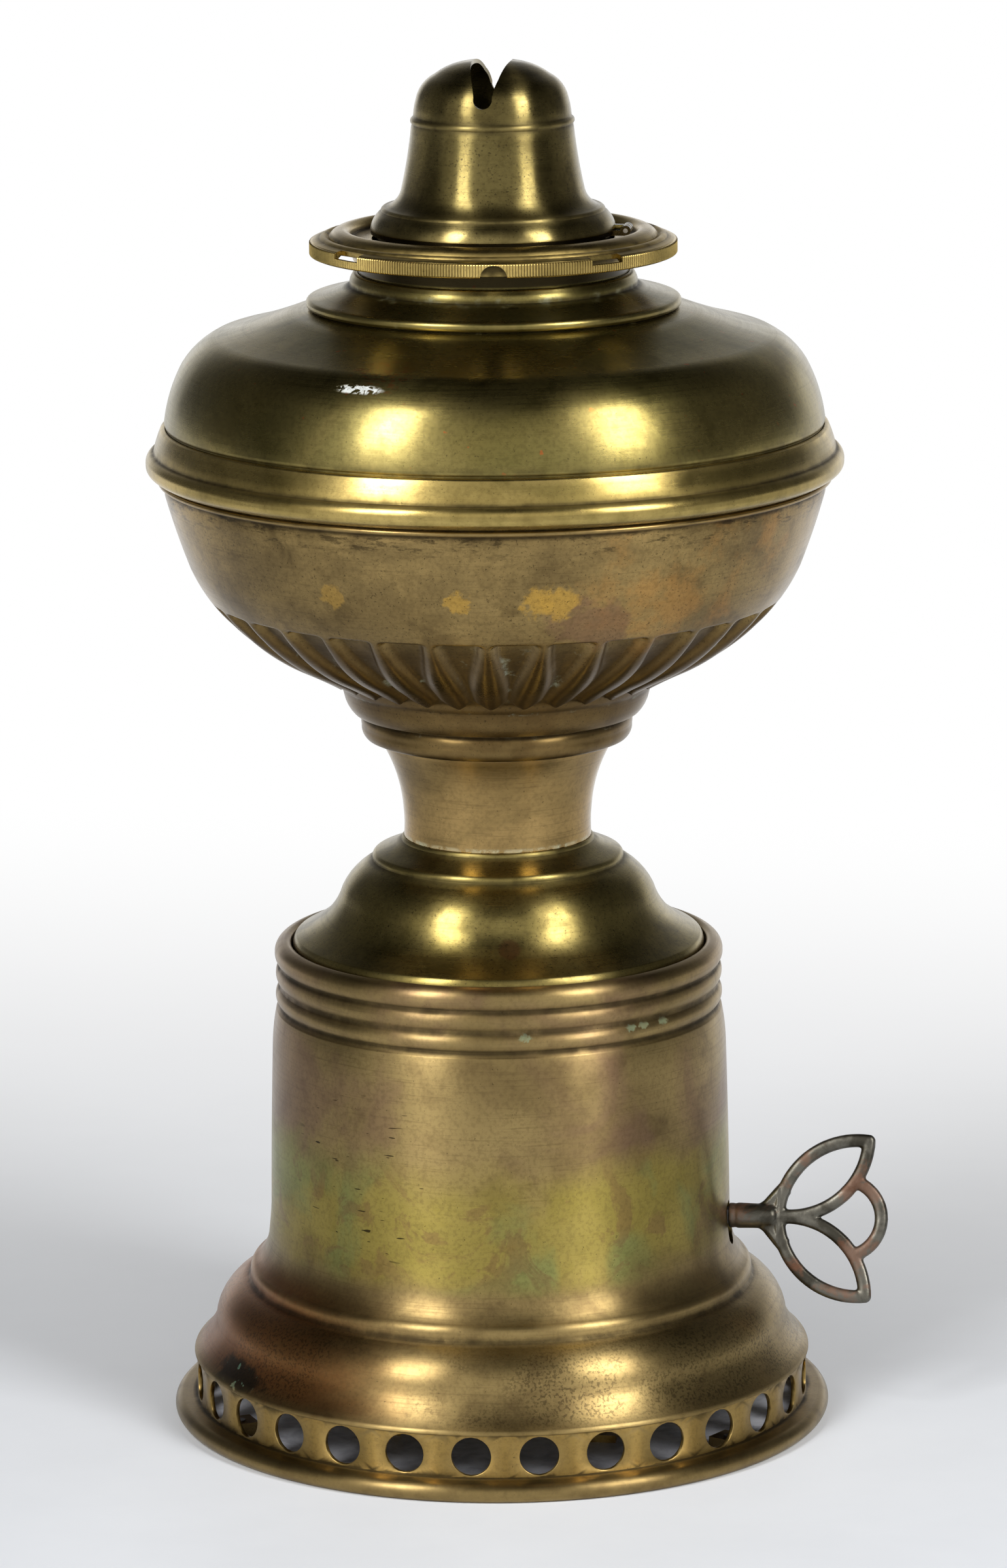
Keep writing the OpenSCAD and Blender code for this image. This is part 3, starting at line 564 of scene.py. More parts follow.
def flutes(loop, azimuths, radius, height, hollow, sharp):
    """Presses the flutes into the belly: wide and square at the top, narrow between tongues below.

    s runs up the flutes from 0 to 1. width is half of a flute's floor as a share of the flutes' spacing.
    """
    along = (FLUTE_TOP - FLUTE_FOOT).normalized()
    length = (FLUTE_TOP - FLUTE_FOOT).length
    turn = azimuths * FLUTE_COUNT / FULL_TURN
    side = np.abs(turn - np.round(turn))
    for i, point in enumerate(loop):
        outward = outside_normal(loop, i)
        s = (point - FLUTE_FOOT).dot(along) / length
        if not FLUTE_ENDS[0] < s < FLUTE_ENDS[3] or outward.y > -0.1:
            continue
        width = 0.03 + 0.06 * s + 0.22 * float(smooth(s, 0.3, 1.0)) ** 1.3
        nose = max(0.0, 1 - s / TONGUE_NOSE)
        width = 0.5 - (0.5 - width) * math.sqrt(max(0, 1 - nose * nose))
        lobe = np.clip((side - width) / max(0.5 - width, 1e-3), 0, 1)
        crown = 1 - (1 - lobe) ** 2.4
        ends = float(smooth(s, *FLUTE_ENDS[:2]) * (1 - smooth(s, *FLUTE_ENDS[2:])))
        deep = FLUTE_DEPTH * (0.62 + 0.38 * float(smooth(s, 0.0, 0.5)))
        floor = 1 - 0.1 * np.clip(side / max(width, 1e-3), 0, 1) ** 2
        pressed = deep * ends * np.where(side < width, floor, 0.9 * (1 - crown))
        radius[i] -= outward.x * pressed
        height[i] -= outward.y * pressed
        share = pressed / FLUTE_DEPTH
        hollow[i] = np.maximum(hollow[i], FLUTE_GRIME * share)
        crest = np.exp(-((side - width - CREST_STEP) / CREST_WIDTH) ** 2) * ends
        sharp[i] = np.maximum(sharp[i] * (1 - share), 0.2 * crest)
    return radius, height, hollow, sharp


def outside_normal(loop, i):
    """The section's outward direction at point i of a loop that runs upwards on the outside."""
    run = (loop[(i + 1) % len(loop)] - loop[i - 1]).normalized()
    return Vector((run.y, -run.x))


def make_font():
    dome = turned("shoulder_dome_shell", DOME)
    stand_in(dome, "shoulder_dome", "shoulder_brass", "root")
    stand_in(turned("stem_tube", STEM), "stem", "stem_brass", "root")
    bowl = turned("fluted_bowl", finely_stepped(BOWL), FLUTE_COUNT * FLUTE_COLUMNS, relief=flutes)
    stand_in(bowl, "lower_bowl", "bowl_brass", "root")
    stand_in(turned("belt_moulding", BELT, 320), "belt_ring", "bright_brass", "root")
    stand_in(turned("upper_bowl_shell", UPPER_BOWL, 320), "upper_bowl", "font_brass", "root")
    stand_in(turned("collar_moulding", COLLAR), "font_collar", "font_brass", "root")
    stand_in(turned("neck_tube", NECK), "burner_neck", "font_brass", "root")


def finely_stepped(rows):
    """The rows with the fluted stretch split into short straight steps for the relief."""
    made = [list(rows[0])]
    for before, row in zip(rows, rows[1:]):
        fluted = before in BELLY and row in BELLY and row[1] < FLUTED_BELOW
        if not fluted:
            made.append(list(row))
            continue
        points = arc(before[:2], row[:2], row[2] if len(row) > 2 else 0)
        line = [Vector(before[:2])] + points
        for p, q in zip(line, line[1:]):
            count = math.ceil((q - p).length / FLUTE_STEP)
            made += [list(p.lerp(q, k / count)) for k in range(1, count + 1)]
    return made


# ---- Burner ----

GALLERY = [[29.35, 255.6], [30.1, 255.6], [30.1, 259.3], [37.6, 259], [38.4, 258.4], [38.5, 256.6],
           [38.9, 256.6], [39.05, 257.05], [39.05, 259.3], [38.7, 259.85, 0.1], [37.2, 260.2],
           [36.4, 260.8, 0.15], [35.6, 260.5, 0.15], [35.2, 260.3], [35.2, 260.6], [32.6, 262.2, 0.35],
           [30.5, 261, 0.45], [30.4, 260.1], [25.9, 260.1], [25.9, 259.3], [29.35, 259.3]]
MILLED_EDGE = [[38.7, 256.75], [39.15, 256.75], [39.4, 257.1, 0.08], [39.4, 259.25], [39.1, 259.65, 0.1],
               [38.7, 259.65]]
MILL_COUNT = 400
MILL_DEPTH = 0.16
MILLED_FROM = 39.2
SLOT_AZIMUTHS = (45, 135, 225, 315)
SLOT_REACH = (37.4, 41)
SLOT_WIDTH = 8.0
SLOT_HEIGHTS = (258.4, 261.5)
NOTCH_AZIMUTH = 7.5
NOTCH_REACH = (36, 42)
NOTCH_RADIUS = 2.9
NOTCH_HEIGHT = 256.5
CAP = [[26.3, 262], [26.2, 262.6], [24, 266, 0.35], [23.3, 266.8, 0.2], [22.9, 266.8],
       [19.65, 270.3, -0.62], [17.4, 283.6, -0.2], [17.2, 284.5], [17.2, 285.8, 0.35],
       [16.9, 286.1], [16.3, 289.8, 0.12], [12.4, 294.9, 0.75],
       [6, 297.6, 0.45], [0, 298, 0.1], [0, 297.1], [6, 296.7, -0.1],
       [11.7, 294.3, -0.45], [15.4, 289.6, -0.75], [16.2, 285.5], [16.5, 283], [18.8, 270, 0.2],
       [22.6, 265.9, 0.6], [25.3, 262.6, -0.3], [25.3, 262]]
FLAME_SLOT_ARC = 58.0
FLAME_SLOT_HALF = 4.1
FLAME_SLOT_FOOT = 291.2
FLAME_SLOT_END = 2.0
FLAME_SLOT_END_AT = 14
FLAME_SLOT_REACH = 17.0
ABOVE_CAP = 300
HINGE = Vector((28.75, 0, 262))
KNUCKLE = [[0.55, -0.9], [1.1, -0.9], [1.1, 0.9], [0.55, 0.9]]
TONGUE = [(25.6, -0.9), (28.1, -0.9), (28.1, 0.9), (25.6, 0.9)]
TONGUE_HEIGHTS = (262.1, 263)


def milled(loop, azimuths, radius, height, hollow, sharp):
    """Fine upright ridges round the ring's edge."""
    ridge = 0.5 - 0.5 * np.cos(azimuths * MILL_COUNT)
    for i, point in enumerate(loop):
        if point.x > MILLED_FROM:
            radius[i] -= MILL_DEPTH * (1 - ridge)
            hollow[i] = 0.75 * (1 - ridge)
            sharp[i] = 0.7 * ridge
    return radius, height, hollow, sharp


def faced(cutter, azimuth):
    """A cutter along X, turned to that azimuth."""
    cutter.data.transform(Matrix.Rotation(math.radians(azimuth) - math.pi / 2, 4, "Z"))
    return cutter


def slot_cutter():
    """A block that reaches outwards through the ring's top."""
    (near, far), half = SLOT_REACH, SLOT_WIDTH / 2
    return prism("slot", [(near, -half), (far, -half), (far, half), (near, half)], *SLOT_HEIGHTS)


def circle(radius, count, height=0.0):
    """The points of a circle round that height."""
    steps = [FULL_TURN * k / count for k in range(count)]
    return [(radius * math.cos(a), height + radius * math.sin(a)) for a in steps]


def make_gallery():
    ring = turned("gallery_flange", GALLERY, 320)
    edge = turned("milled_edge", MILLED_EDGE, MILL_COUNT * 4, relief=milled)
    for part in (ring, edge):
        for azimuth in SLOT_AZIMUTHS:
            cut(part, faced(slot_cutter(), azimuth))
        notch = prism("notch", circle(NOTCH_RADIUS, 32, NOTCH_HEIGHT), *NOTCH_REACH, "X")
        cut(part, faced(notch, NOTCH_AZIMUTH))
    stand_in(ring, "gallery_ring", "bright_brass", "gallery")
    edge.data.materials.append(MATERIALS["bright_brass"])
    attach(edge, "gallery")


def make_cap():
    """The cap with its boat-shaped flame slot, rounded at both feet, and its half of the hinge."""
    cap = turned("slotted_cap", CAP, 288)
    shift = FLAME_SLOT_ARC - FLAME_SLOT_HALF
    line = [FLAME_SLOT_REACH * (2 * k / 40 - 1) for k in range(41)]
    boat = [(math.sqrt(FLAME_SLOT_ARC ** 2 - y * y) - shift, y) for y in line]
    boat += [(-x, y) for x, y in reversed(boat)]
    cut(cap, prism("flame_slot", boat, FLAME_SLOT_FOOT, ABOVE_CAP))
    for side in (-1, 1):
        end = prism("slot_end", circle(FLAME_SLOT_END, 40), -4, 4)
        place = Vector((0, side * FLAME_SLOT_END_AT, FLAME_SLOT_FOOT)) * MM
        end.data.transform(Matrix.Translation(place) @ Matrix.Rotation(math.pi / 2, 4, "X"))
        cut(cap, end)
    knuckle = turned("knuckle", KNUCKLE, 40)
    knuckle.data.transform(Matrix.Translation(HINGE * MM) @ Matrix.Rotation(math.pi / 2, 4, "X"))
    tongue = prism("tongue", TONGUE, *TONGUE_HEIGHTS)
    with_modifier(tongue, "BEVEL", width=0.15 * MM, segments=3)
    cap = joined("slotted_cap", [cap, knuckle, tongue])
    cap.data.set_sharp_from_angle(angle=CREASE)
    stand_in(cap, "cap", "cap_brass", "cap")


# ---- Wick ----

RIB_COUNT = 17
PICK = 1.15
RIB_HEIGHT = 0.22
RIB_SHARE, PICK_SHARE = 0.55, 0.35


def make_wick():
    """Woven cotton tape: thick upright ribs with the weft dipping between them."""
    low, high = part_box("wick")
    low, high = low / MM, high / MM
    half_thick, half_wide = (high.x - low.x) / 2 - RIB_HEIGHT, (high.y - low.y) / 2 - RIB_HEIGHT
    side_steps, end_steps = RIB_COUNT * 6, 8
    border = []
    for sign in (1, -1):
        border += [(sign * half_thick, sign * half_wide * (2 * k / side_steps - 1), sign, 0)
                   for k in range(side_steps)]
        border += [(sign * half_thick * math.cos(math.pi * k / end_steps), sign * half_wide, sign, 1)
                   for k in range(end_steps)]
    rows = math.ceil((high.z - low.z) / (PICK / 3))
    points, hollow = [], []
    for row in range(rows + 1):
        z = low.z + (high.z - low.z) * row / rows
        for x, y, sign, is_end in border:
            rib = math.sin(math.pi * RIB_COUNT * (y / half_wide + 1) / 2)
            pick = math.sin(math.pi * z / PICK + (math.pi / 2 if rib > 0 else 0))
            lift = RIB_HEIGHT * abs(rib) * (RIB_SHARE + PICK_SHARE * pick)
            points.append((x + (0 if is_end else sign * lift), y, z))
            hollow.append(1 - min(1, abs(rib) + 0.3))
    count = len(border)
    faces = tube_faces(rows + 1, count)
    faces += [tuple(range(count)), tuple(range((rows + 1) * count - 1, rows * count - 1, -1))]
    wick = new_piece("woven_wick", points, faces, {"hollow": hollow})
    stand_in(wick, "wick", "wick_cotton", "wick")


# ---- Key ----

KEY_LEAN = math.radians(19)
KEY_BAR = 1.5
LEAF_RADIUS = 18.85 - KEY_BAR
LEAF_MIDDLE = Vector((71.1, 8.6))
LEAF_AXIS = Vector((-0.653, 0.758))
LEAF_OFFSET = 11.7
PETAL_CENTRE = Vector((75.6, 0))
PETAL_RADIUS = 9.9 - KEY_BAR
KEY_VOXEL = 0.3
PETAL_HALF = math.radians(74)
WEBS = (((56.6, 0.9), (58.9, 2.6), (61.2, 5.0), (63.4, 7.4)),
        ((59.6, 1.6), (60.8, 3.0), (62.0, 4.6), (63.0, 6.0)))
WEB_RADII = (1.05, 1.15, 1.35, 1.4)
SPINE = ((55, 0), (58, 0), (60.6, 0), (63.4, 0))
SPINE_RADII = (1.2, 1.3, 1.3, 1.1)
FLAT_FROM = 61.5 * MM
FLAT_LIMIT = 0.92 * MM
FLAT_KEPT = 0.6
# where along the key and how thick
HUB = ((50.5, 2.75), (51.75, 2.75), (51.95, 2.35), (52.25, 2.35), (52.4, 2.85), (57.5, 2.7), (60.0, 2.55),
       (60.8, 2.2), (61.1, 1.4))


def bar(name, line, radii):
    """A round bar along [x, w] points of the key's handle, with a radius at each point."""
    curve = bpy.data.curves.new(name, "CURVE")
    curve.dimensions = "3D"
    curve.bevel_depth = MM
    curve.bevel_resolution = 6
    curve.use_fill_caps = True
    spline = curve.splines.new("POLY")
    spline.points.add(len(line) - 1)
    for point, (x, w), radius in zip(spline.points, line, radii):
        point.co = (x * MM, 0, w * MM, 1)
        point.radius = radius
    piece = bpy.data.objects.new(name, curve)
    scene.collection.objects.link(piece)
    bpy.context.view_layer.update()
    mesh = bpy.data.meshes.new_from_object(piece.evaluated_get(bpy.context.evaluated_depsgraph_get()))
    bpy.data.objects.remove(piece)
    solid = bpy.data.objects.new(name, mesh)
    scene.collection.objects.link(solid)
    return solid


def arc_line(centre, radius, facing, half):
    """[x, w] points of an arc that reaches half an angle to both sides of the way it faces."""
    angles = [facing + half * (k / 12 - 1) for k in range(25)]
    return [(centre.x + radius * math.cos(a), centre.y + radius * math.sin(a)) for a in angles]


def leaf_line(sign):
    """One bar of a leaf: an arc from its inner tip to its outer tip."""
    centre = LEAF_MIDDLE + sign * LEAF_OFFSET * LEAF_AXIS
    facing = math.atan2(-sign * LEAF_AXIS.y, -sign * LEAF_AXIS.x)
    return arc_line(centre, LEAF_RADIUS, facing, math.acos(LEAF_OFFSET / LEAF_RADIUS))


def ball(x, w, radius):
    """A ball at that [x, w] point of the key's handle."""
    solid = bmesh.new()
    bmesh.ops.create_icosphere(solid, subdivisions=3, radius=radius * MM)
    mesh = bpy.data.meshes.new("ball")
    solid.to_mesh(mesh)
    solid.free()
    mesh.transform(Matrix.Translation((x * MM, 0, w * MM)))
    piece = bpy.data.objects.new("ball", mesh)
    scene.collection.objects.link(piece)
    return piece


def make_key():
    """A cast key: round bars, balls and a hub, run together and softened as in a casting."""
    parts = []
    for mirror in (1, -1):
        for sign in (1, -1):
            line = [(x, mirror * w) for x, w in leaf_line(sign)]
            parts.append(bar("leaf_bar", line, [KEY_BAR] * len(line)))
        tip_x, tip_w = leaf_line(1)[-1]
        parts.append(ball(tip_x, mirror * tip_w, KEY_BAR))
        for web in WEBS:
            parts.append(bar("web", [(x, mirror * w) for x, w in web], WEB_RADII))
    line = arc_line(PETAL_CENTRE, PETAL_RADIUS, 0, PETAL_HALF)
    parts.append(bar("petal_bar", line, [KEY_BAR] * len(line)))
    parts.append(bar("spine", SPINE, SPINE_RADII))
    parts.append(bar("hub", [(x, 0) for x, _ in HUB], [radius for _, radius in HUB]))
    key = joined("cast_key", parts)
    with_modifier(key, "REMESH", mode="VOXEL", voxel_size=KEY_VOXEL * MM)
    with_modifier(key, "SMOOTH", factor=0.5, iterations=5)
    flatten_key(key)
    key.data.transform(Matrix.Translation((0, 0, ARBOR_HEIGHT * MM)) @ Matrix.Rotation(-KEY_LEAN, 4, "X"))
    key.data.shade_smooth()
    stand_in(key, "key", "cast_iron", "winder")


def flatten_key(key):
    """Presses the handle's faces a little flat, as a casting's bars are, and leaves the hub round."""
    for vertex in key.data.vertices:
        over = abs(vertex.co.y) - FLAT_LIMIT
        if vertex.co.x > FLAT_FROM and over > 0:
            vertex.co.y = math.copysign(FLAT_LIMIT + over * FLAT_KEPT, vertex.co.y)


# ---- Materials ----

PALE_GREEN = colour(176, 186, 160)
CHALK = colour(222, 226, 222)
# Near-black: soot and grime in hollows and specks, and also painted shade under the gallery and on the
# neck.
SOOT_AND_SHADE = colour(38, 31, 22)


def surface(name):
    """A new node material and its graph."""
    material = bpy.data.materials.new(name)
    material.use_nodes = True
    return material, Graph(material.node_tree)


def shaded(material, g, height, strength, distance, inputs):
    """The material with a principled shader of those inputs, bumped by that height."""
    bump = g.new("Bump", {"Strength": strength, "Distance": distance, "Height": height})
    shader = g.new("BsdfPrincipled", {**inputs, "Normal": bump.outputs[0]})
    g.new("OutputMaterial", {"Surface": shader.outputs[0]})
    return material


def between(g, value, low, high, fade):
    """1 between low and high millimetres, fading to 0 beyond them."""
    rise = g.span(value, (low - fade) * MM, (low + fade) * MM)
    return g.times(rise, g.span(value, (high - fade) * MM, (high + fade) * MM, 1, 0))


def ring_noise(g, scale):
    """Noise in fine rings round the axis, as a spinning lathe leaves them."""
    x, _, z = g.parts(g.place)
    radius = g.length(g.scaled(g.place, (1, 1, 0)))
    ringed = g.new("CombineXYZ", {0: radius, 1: z, 2: g.times(x, 0.03)}).outputs[0]
    return g.noise(scale, 3, 0.65, at=ringed)


def spot(g, at, size, ragged, squash=(1, 1, 1)):
    """1 inside a ragged spot. at is its azimuth in degrees, radius and height; size is its radius."""
    middle = on_circle(math.radians(at[0]), at[1] * MM, at[2] * MM)
    away = g.new("VectorMath", {0: g.place, 1: middle}, operation="SUBTRACT").outputs[0]
    wander = g.math("SUBTRACT", g.noise(1.3 / (size * MM), 5, 0.6), 0.5)
    distance = g.math("ADD", g.length(g.scaled(away, squash)), g.times(wander, 2.6 * ragged * size * MM))
    return g.span(distance, size * 0.65 * MM, size * 1.1 * MM, 1, 0)


def speckle(g, scale, share):
    """1 on scattered grains; share is how much of the surface they cover, 0 to 1."""
    level = 0.72 - 0.22 * share
    return g.span(g.noise(scale, 2, 0.5), level, level + 0.05)


def aged_brass(name, tones, clouds, pins, spin, roughness, brushed, grime, paint=None):
    """Aged brass: cloudy tone, dark pin specks, grime in the corners, bright worn edges, fine spin lines.

    tones are dark, middle and bright. brushed is how far highlights stretch across the spin lines.
    paint(g, tone) adds a piece's own stains and gives the tone and how much of the surface is under a
    dull deposit.
    """
    material, g = surface(name)
    dark, middle, bright = tones
    patches = g.noise(95, 5, 0.62, 0.4)
    tone = g.mix(g.span(g.noise(26, 6, 0.6, 0.8), 0.38, 0.64), middle, bright)
    tone = g.mix(g.span(patches, 0.47, 0.72, 0, clouds), tone, dark)
    lines = ring_noise(g, 2300)
    tone = g.mix(g.span(lines, 0.52, 0.72, 0, spin), tone, dark)
    tone, deposit = paint(g, tone) if paint else (tone, 0.0)
    tone = g.tint(tone, speckle(g, 2100, pins), 0.6, SOOT_AND_SHADE)
    tone = g.mix(g.span(g.noise(1150, 3, 0.6), 0.42, 0.68, 0, 0.25), tone, dark)
    hollow = g.times(g.mark("hollow"), g.span(patches, 0.25, 0.6, 0.55, 1.0))
    tone = g.mix(g.span(hollow, 0.2, 0.95, 0, grime), tone, SOOT_AND_SHADE)
    worn = g.times(g.mark("sharp"), g.span(g.noise(240, 3), 0.3, 0.6, 0.3, 1.0))
    tone = g.tint(tone, worn, 0.75, bright)
    cloudy = g.math("ADD", g.times(patches, 0.22), g.times(lines, 0.12))
    rough = g.math("ADD", g.math("ADD", cloudy, roughness - 0.15), g.times(hollow, 0.3), clamp=True)
    dents = g.math("ADD", g.noise(60, 3), g.times(lines, 0.1))
    around = g.new("Tangent", direction_type="RADIAL", axis="Z")
    return shaded(material, g, dents, 0.35, 0.00022, {
        "Base Color": tone, "Metallic": g.math("SUBTRACT", 1.0, deposit, clamp=True), "Roughness": rough,
        "Anisotropic": brushed, "Anisotropic Rotation": 0.25, "Tangent": around.outputs[0]})


def paint_font(g, tone):
    """Olive bloom, brown smudges, orange specks, the chalky scuff over the left highlight and painted shade
    on the neck.
    """
    height = g.parts(g.place)[2]
    bloom = g.span(g.noise(14, 4, 0.5, 1.0), 0.42, 0.62)
    tone = g.tint(tone, bloom, 0.4, colour(104, 102, 58))
    strokes = g.span(g.noise(420, 3, 0.5, 1.4, g.scaled(g.place, (1, 1, 3))), 0.52, 0.62)
    smudge = g.times(spot(g, (-15, 60.5, 239.2), 8, 0.4, (1, 1, 1.5)), strokes)
    tone = g.tint(tone, smudge, 0.6, colour(150, 92, 48))
    tone = g.tint(tone, speckle(g, 420, 0.02), 0.8, colour(176, 100, 52))
    low = g.times(between(g, height, 214, 221.5, 0.8), g.span(g.noise(130, 4), 0.42, 0.6))
    tone = g.tint(tone, low, 0.5, SOOT_AND_SHADE)
    chips = g.span(g.noise(640, 5, 0.65, 0.8), 0.46, 0.52)
    scuff = g.times(spot(g, (-18.5, 64.5, 236.5), 5.6, 0.3, (1, 0.6, 6)), chips)
    tone = g.mix(scuff, tone, CHALK)
    crust = g.times(between(g, height, 249.6, 251, 0.5), g.span(g.noise(300, 4), 0.5, 0.7))
    ledge = g.times(between(g, height, 245, 246.2, 0.4), g.span(g.noise(260, 4), 0.62, 0.72))
    deposit = g.math("MAXIMUM", g.times(crust, 0.45), g.times(ledge, 0.4))
    # Painted shade: the neck tube above the collar lies in the gallery's shade, so its tone is made
    # near-black.
    tone = g.mix(g.span(height, 252.8 * MM, 253.4 * MM, 0, 0.92), tone, SOOT_AND_SHADE)
    return g.mix(deposit, tone, PALE_GREEN), g.math("MAXIMUM", deposit, g.times(scuff, 0.9))


def paint_rings(g, tone):
    """The belt is duller and greener than the milled gallery; the gallery's underside has painted shade."""
    height = g.parts(g.place)[2]
    low = g.span(height, 222 * MM, 230 * MM, 1, 0)
    cloudy = g.span(g.noise(30, 4, 0.5, 0.8), 0.4, 0.6, 0.35, 0.75)
    tone = g.tint(tone, low, cloudy, colour(126, 112, 62))
    # Painted shade: inside and under the gallery ring, above the belt, the tone goes near-black as under
    # the flange.
    inside = g.span(g.length(g.scaled(g.place, (1, 1, 0))), 37.8 * MM, 38.4 * MM, 1, 0)
    under = g.span(height, 258.6 * MM, 259.4 * MM, 1, 0)
    high = g.math("SUBTRACT", 1.0, low)
    tone = g.tint(tone, g.times(inside, under, high), 0.97, SOOT_AND_SHADE)
    top = g.times(g.span(height, 259.6 * MM, 260.2 * MM), high)
    return g.tint(tone, top, 0.5, colour(104, 84, 50)), 0.0


def paint_bowl(g, tone):
    """Browner belly: a grimy line under the belt, rubbed gold patches, an orange side, chalky flutes."""
    height = g.parts(g.place)[2]
    warm = g.times(spot(g, (44, 68, 196), 23, 0.9, (0.8, 0.8, 1.5)), g.span(g.noise(75, 6, 0.65), 0.4, 0.6))
    tone = g.tint(tone, warm, 0.5, colour(180, 132, 70))
    plum = spot(g, (26, 64.5, 188), 9, 0.9, (0.9, 0.9, 1.4))
    tone = g.tint(tone, plum, 0.45, colour(118, 82, 70))
    for azimuth, size, strength in ((-23, 3.0, 0.45), (0.5, 2.6, 0.7), (15, 3.4, 0.8), (18.5, 4.2, 0.8)):
        tone = g.tint(tone, spot(g, (azimuth, 67.2, 193), size, 1.0), strength, colour(190, 150, 70))
    streaks = g.span(g.noise(170, 6, 0.75, at=g.scaled(g.place, (1, 1, 4))), 0.5, 0.62)
    tone = g.tint(tone, g.times(between(g, height, 203.5, 208.4, 1.5), streaks), 0.7, SOOT_AND_SHADE)
    tone = g.mix(g.span(height, 178 * MM, 184.5 * MM, 0.75, 0), tone, colour(84, 64, 36))
    flute = g.span(g.mark("hollow"), 0.32, 0.56)
    low = g.span(height, 174 * MM, 186 * MM, 1, 0)
    deposit = g.times(flute, low, g.span(g.noise(180, 6, 0.7), 0.56, 0.68), 0.55)
    return g.mix(deposit, tone, PALE_GREEN), deposit


def paint_stem(g, tone):
    """Green deposit in the joint with the dome."""
    joint = between(g, g.parts(g.place)[2], 128.6, 130.2, 0.35)
    deposit = g.times(joint, g.span(g.noise(260, 4), 0.42, 0.55), 0.7)
    return g.mix(deposit, tone, PALE_GREEN), deposit


def paint_dome(g, tone):
    """A reddish blot and dark stains."""
    tone = g.tint(tone, spot(g, (11, 37.4, 112.4), 2.7, 0.2), 0.55, colour(112, 66, 46))
    stains = g.span(g.noise(40, 5, 0.6, 0.7), 0.52, 0.66)
    return g.tint(tone, stains, 0.3, colour(70, 54, 30)), 0.0


def paint_casing(g, tone):
    """Tarnish of the base: plum and gold wall, yellow-green band, orange flare and golden vent band."""
    drift = g.times(g.math("SUBTRACT", g.noise(30, 5, 0.6, 0.5), 0.5), 34 * MM)
    side, _, height = g.parts(g.place)
    wavy = g.math("ADD", height, drift)
    plum = g.times(g.span(wavy, 58 * MM, 72 * MM), g.span(g.noise(34, 5, 0.55, 0.6), 0.4, 0.58))
    tone = g.tint(tone, plum, 0.5, colour(122, 92, 78))
    band = g.times(between(g, wavy, 40, 64, 7), g.span(height, 38 * MM, 42 * MM))
    tone = g.tint(tone, band, 0.52, colour(168, 154, 66))
    green = g.times(band, g.span(g.noise(38, 4, 0.5, 0.8), 0.5, 0.64))
    tone = g.tint(tone, green, 0.5, colour(112, 134, 86))
    bruise = g.times(band, g.span(g.noise(72, 6, 0.65, 1.2), 0.53, 0.6))
    tone = g.tint(tone, bruise, 0.5, colour(128, 98, 66))
    left = g.span(g.math("ADD", side, drift), -44 * MM, -14 * MM, 1, 0)
    tone = g.tint(tone, g.times(between(g, height, 15, 36, 3), left), 0.75, colour(150, 90, 44))
    tone = g.tint(tone, between(g, height, 4, 14, 0.6), 0.6, colour(160, 130, 66))
    tone = g.mix(g.span(height, 3.6 * MM, 4.6 * MM, 0.35, 0), tone, colour(92, 74, 40))
    dusty = g.times(between(g, height, 14.5, 30, 3), g.span(g.noise(34, 3), 0.42, 0.6))
    tone = g.tint(tone, g.times(dusty, speckle(g, 1700, 0.85)), 0.5, SOOT_AND_SHADE)
    scratches = g.span(g.noise(1500, 1, 0.3, at=g.scaled(g.place, (0.16, 0.16, 1))), 0.735, 0.75)
    tone = g.tint(tone, g.times(scratches, spot(g, (-30, 50, 62), 22, 0.3)), 0.9, SOOT_AND_SHADE)
    stain = spot(g, (-54, 65.7, 16.8), 8, 0.8, (0.8, 0.8, 2.2))
    tone = g.tint(tone, stain, 0.85, colour(30, 34, 26))
    deposit = g.times(stain, speckle(g, 500, 0.4), 0.5)
    for azimuth in (14, 43, 47, 54):
        verdigris = spot(g, (azimuth, 48.6, 95.6), 1.0, 0.9, (0.7, 0.7, 1.2))
        deposit = g.math("MAXIMUM", deposit, g.times(verdigris, 0.55))
    return g.mix(deposit, tone, colour(92, 142, 120)), deposit


def plain_metal(name, tone, tarnished, roughness, rust=0.0, metallic=1.0):
    """Unlacquered metal: a dulled tone in patches, fine pits and, on iron, rust."""
    material, g = surface(name)
    patches = g.noise(130, 5, 0.62, 0.5)
    shade = g.mix(g.span(patches, 0.4, 0.66), tone, tarnished)
    shade = g.tint(shade, g.mark("sharp"), 0.6, tone)
    rusty = g.times(g.span(g.noise(105, 6, 0.7, 0.4), 0.5, 0.62), rust)
    shade = g.mix(rusty, shade, colour(118, 62, 22))
    rough = g.math("ADD", g.times(patches, 0.3), roughness - 0.15)
    rough = g.math("ADD", rough, g.times(rusty, 0.35), clamp=True)
    pits = g.math("ADD", g.noise(700, 5, 0.65), g.times(rusty, 0.5))
    metal = g.math("SUBTRACT", metallic, g.times(rusty, 0.7), clamp=True)
    return shaded(material, g, pits, 0.4, 0.00012, {
        "Base Color": shade, "Metallic": metal, "Roughness": rough})


def cotton(name):
    """Undyed woven cotton, oil-stained and charred along its lit top edge."""
    material, g = surface(name)
    thread = g.noise(2600, 3, 0.6, at=g.scaled(g.place, (1, 1, 0.25)))
    tone = g.mix(g.span(thread, 0.35, 0.65), colour(178, 164, 134), colour(222, 212, 188))
    tone = g.mix(g.span(g.mark("hollow"), 0.2, 1.0, 0, 0.5), tone, colour(112, 96, 70))
    edge = g.math("ADD", g.parts(g.place)[2], g.times(g.noise(300, 3), 2 * MM))
    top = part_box("wick")[1].z
    tone = g.mix(g.span(edge, top - 3 * MM, top), tone, colour(30, 26, 22))
    return shaded(material, g, thread, 0.5, 0.0002, {
        "Base Color": tone, "Roughness": 0.9, "Sheen Weight": 0.35, "Sheen Roughness": 0.5})


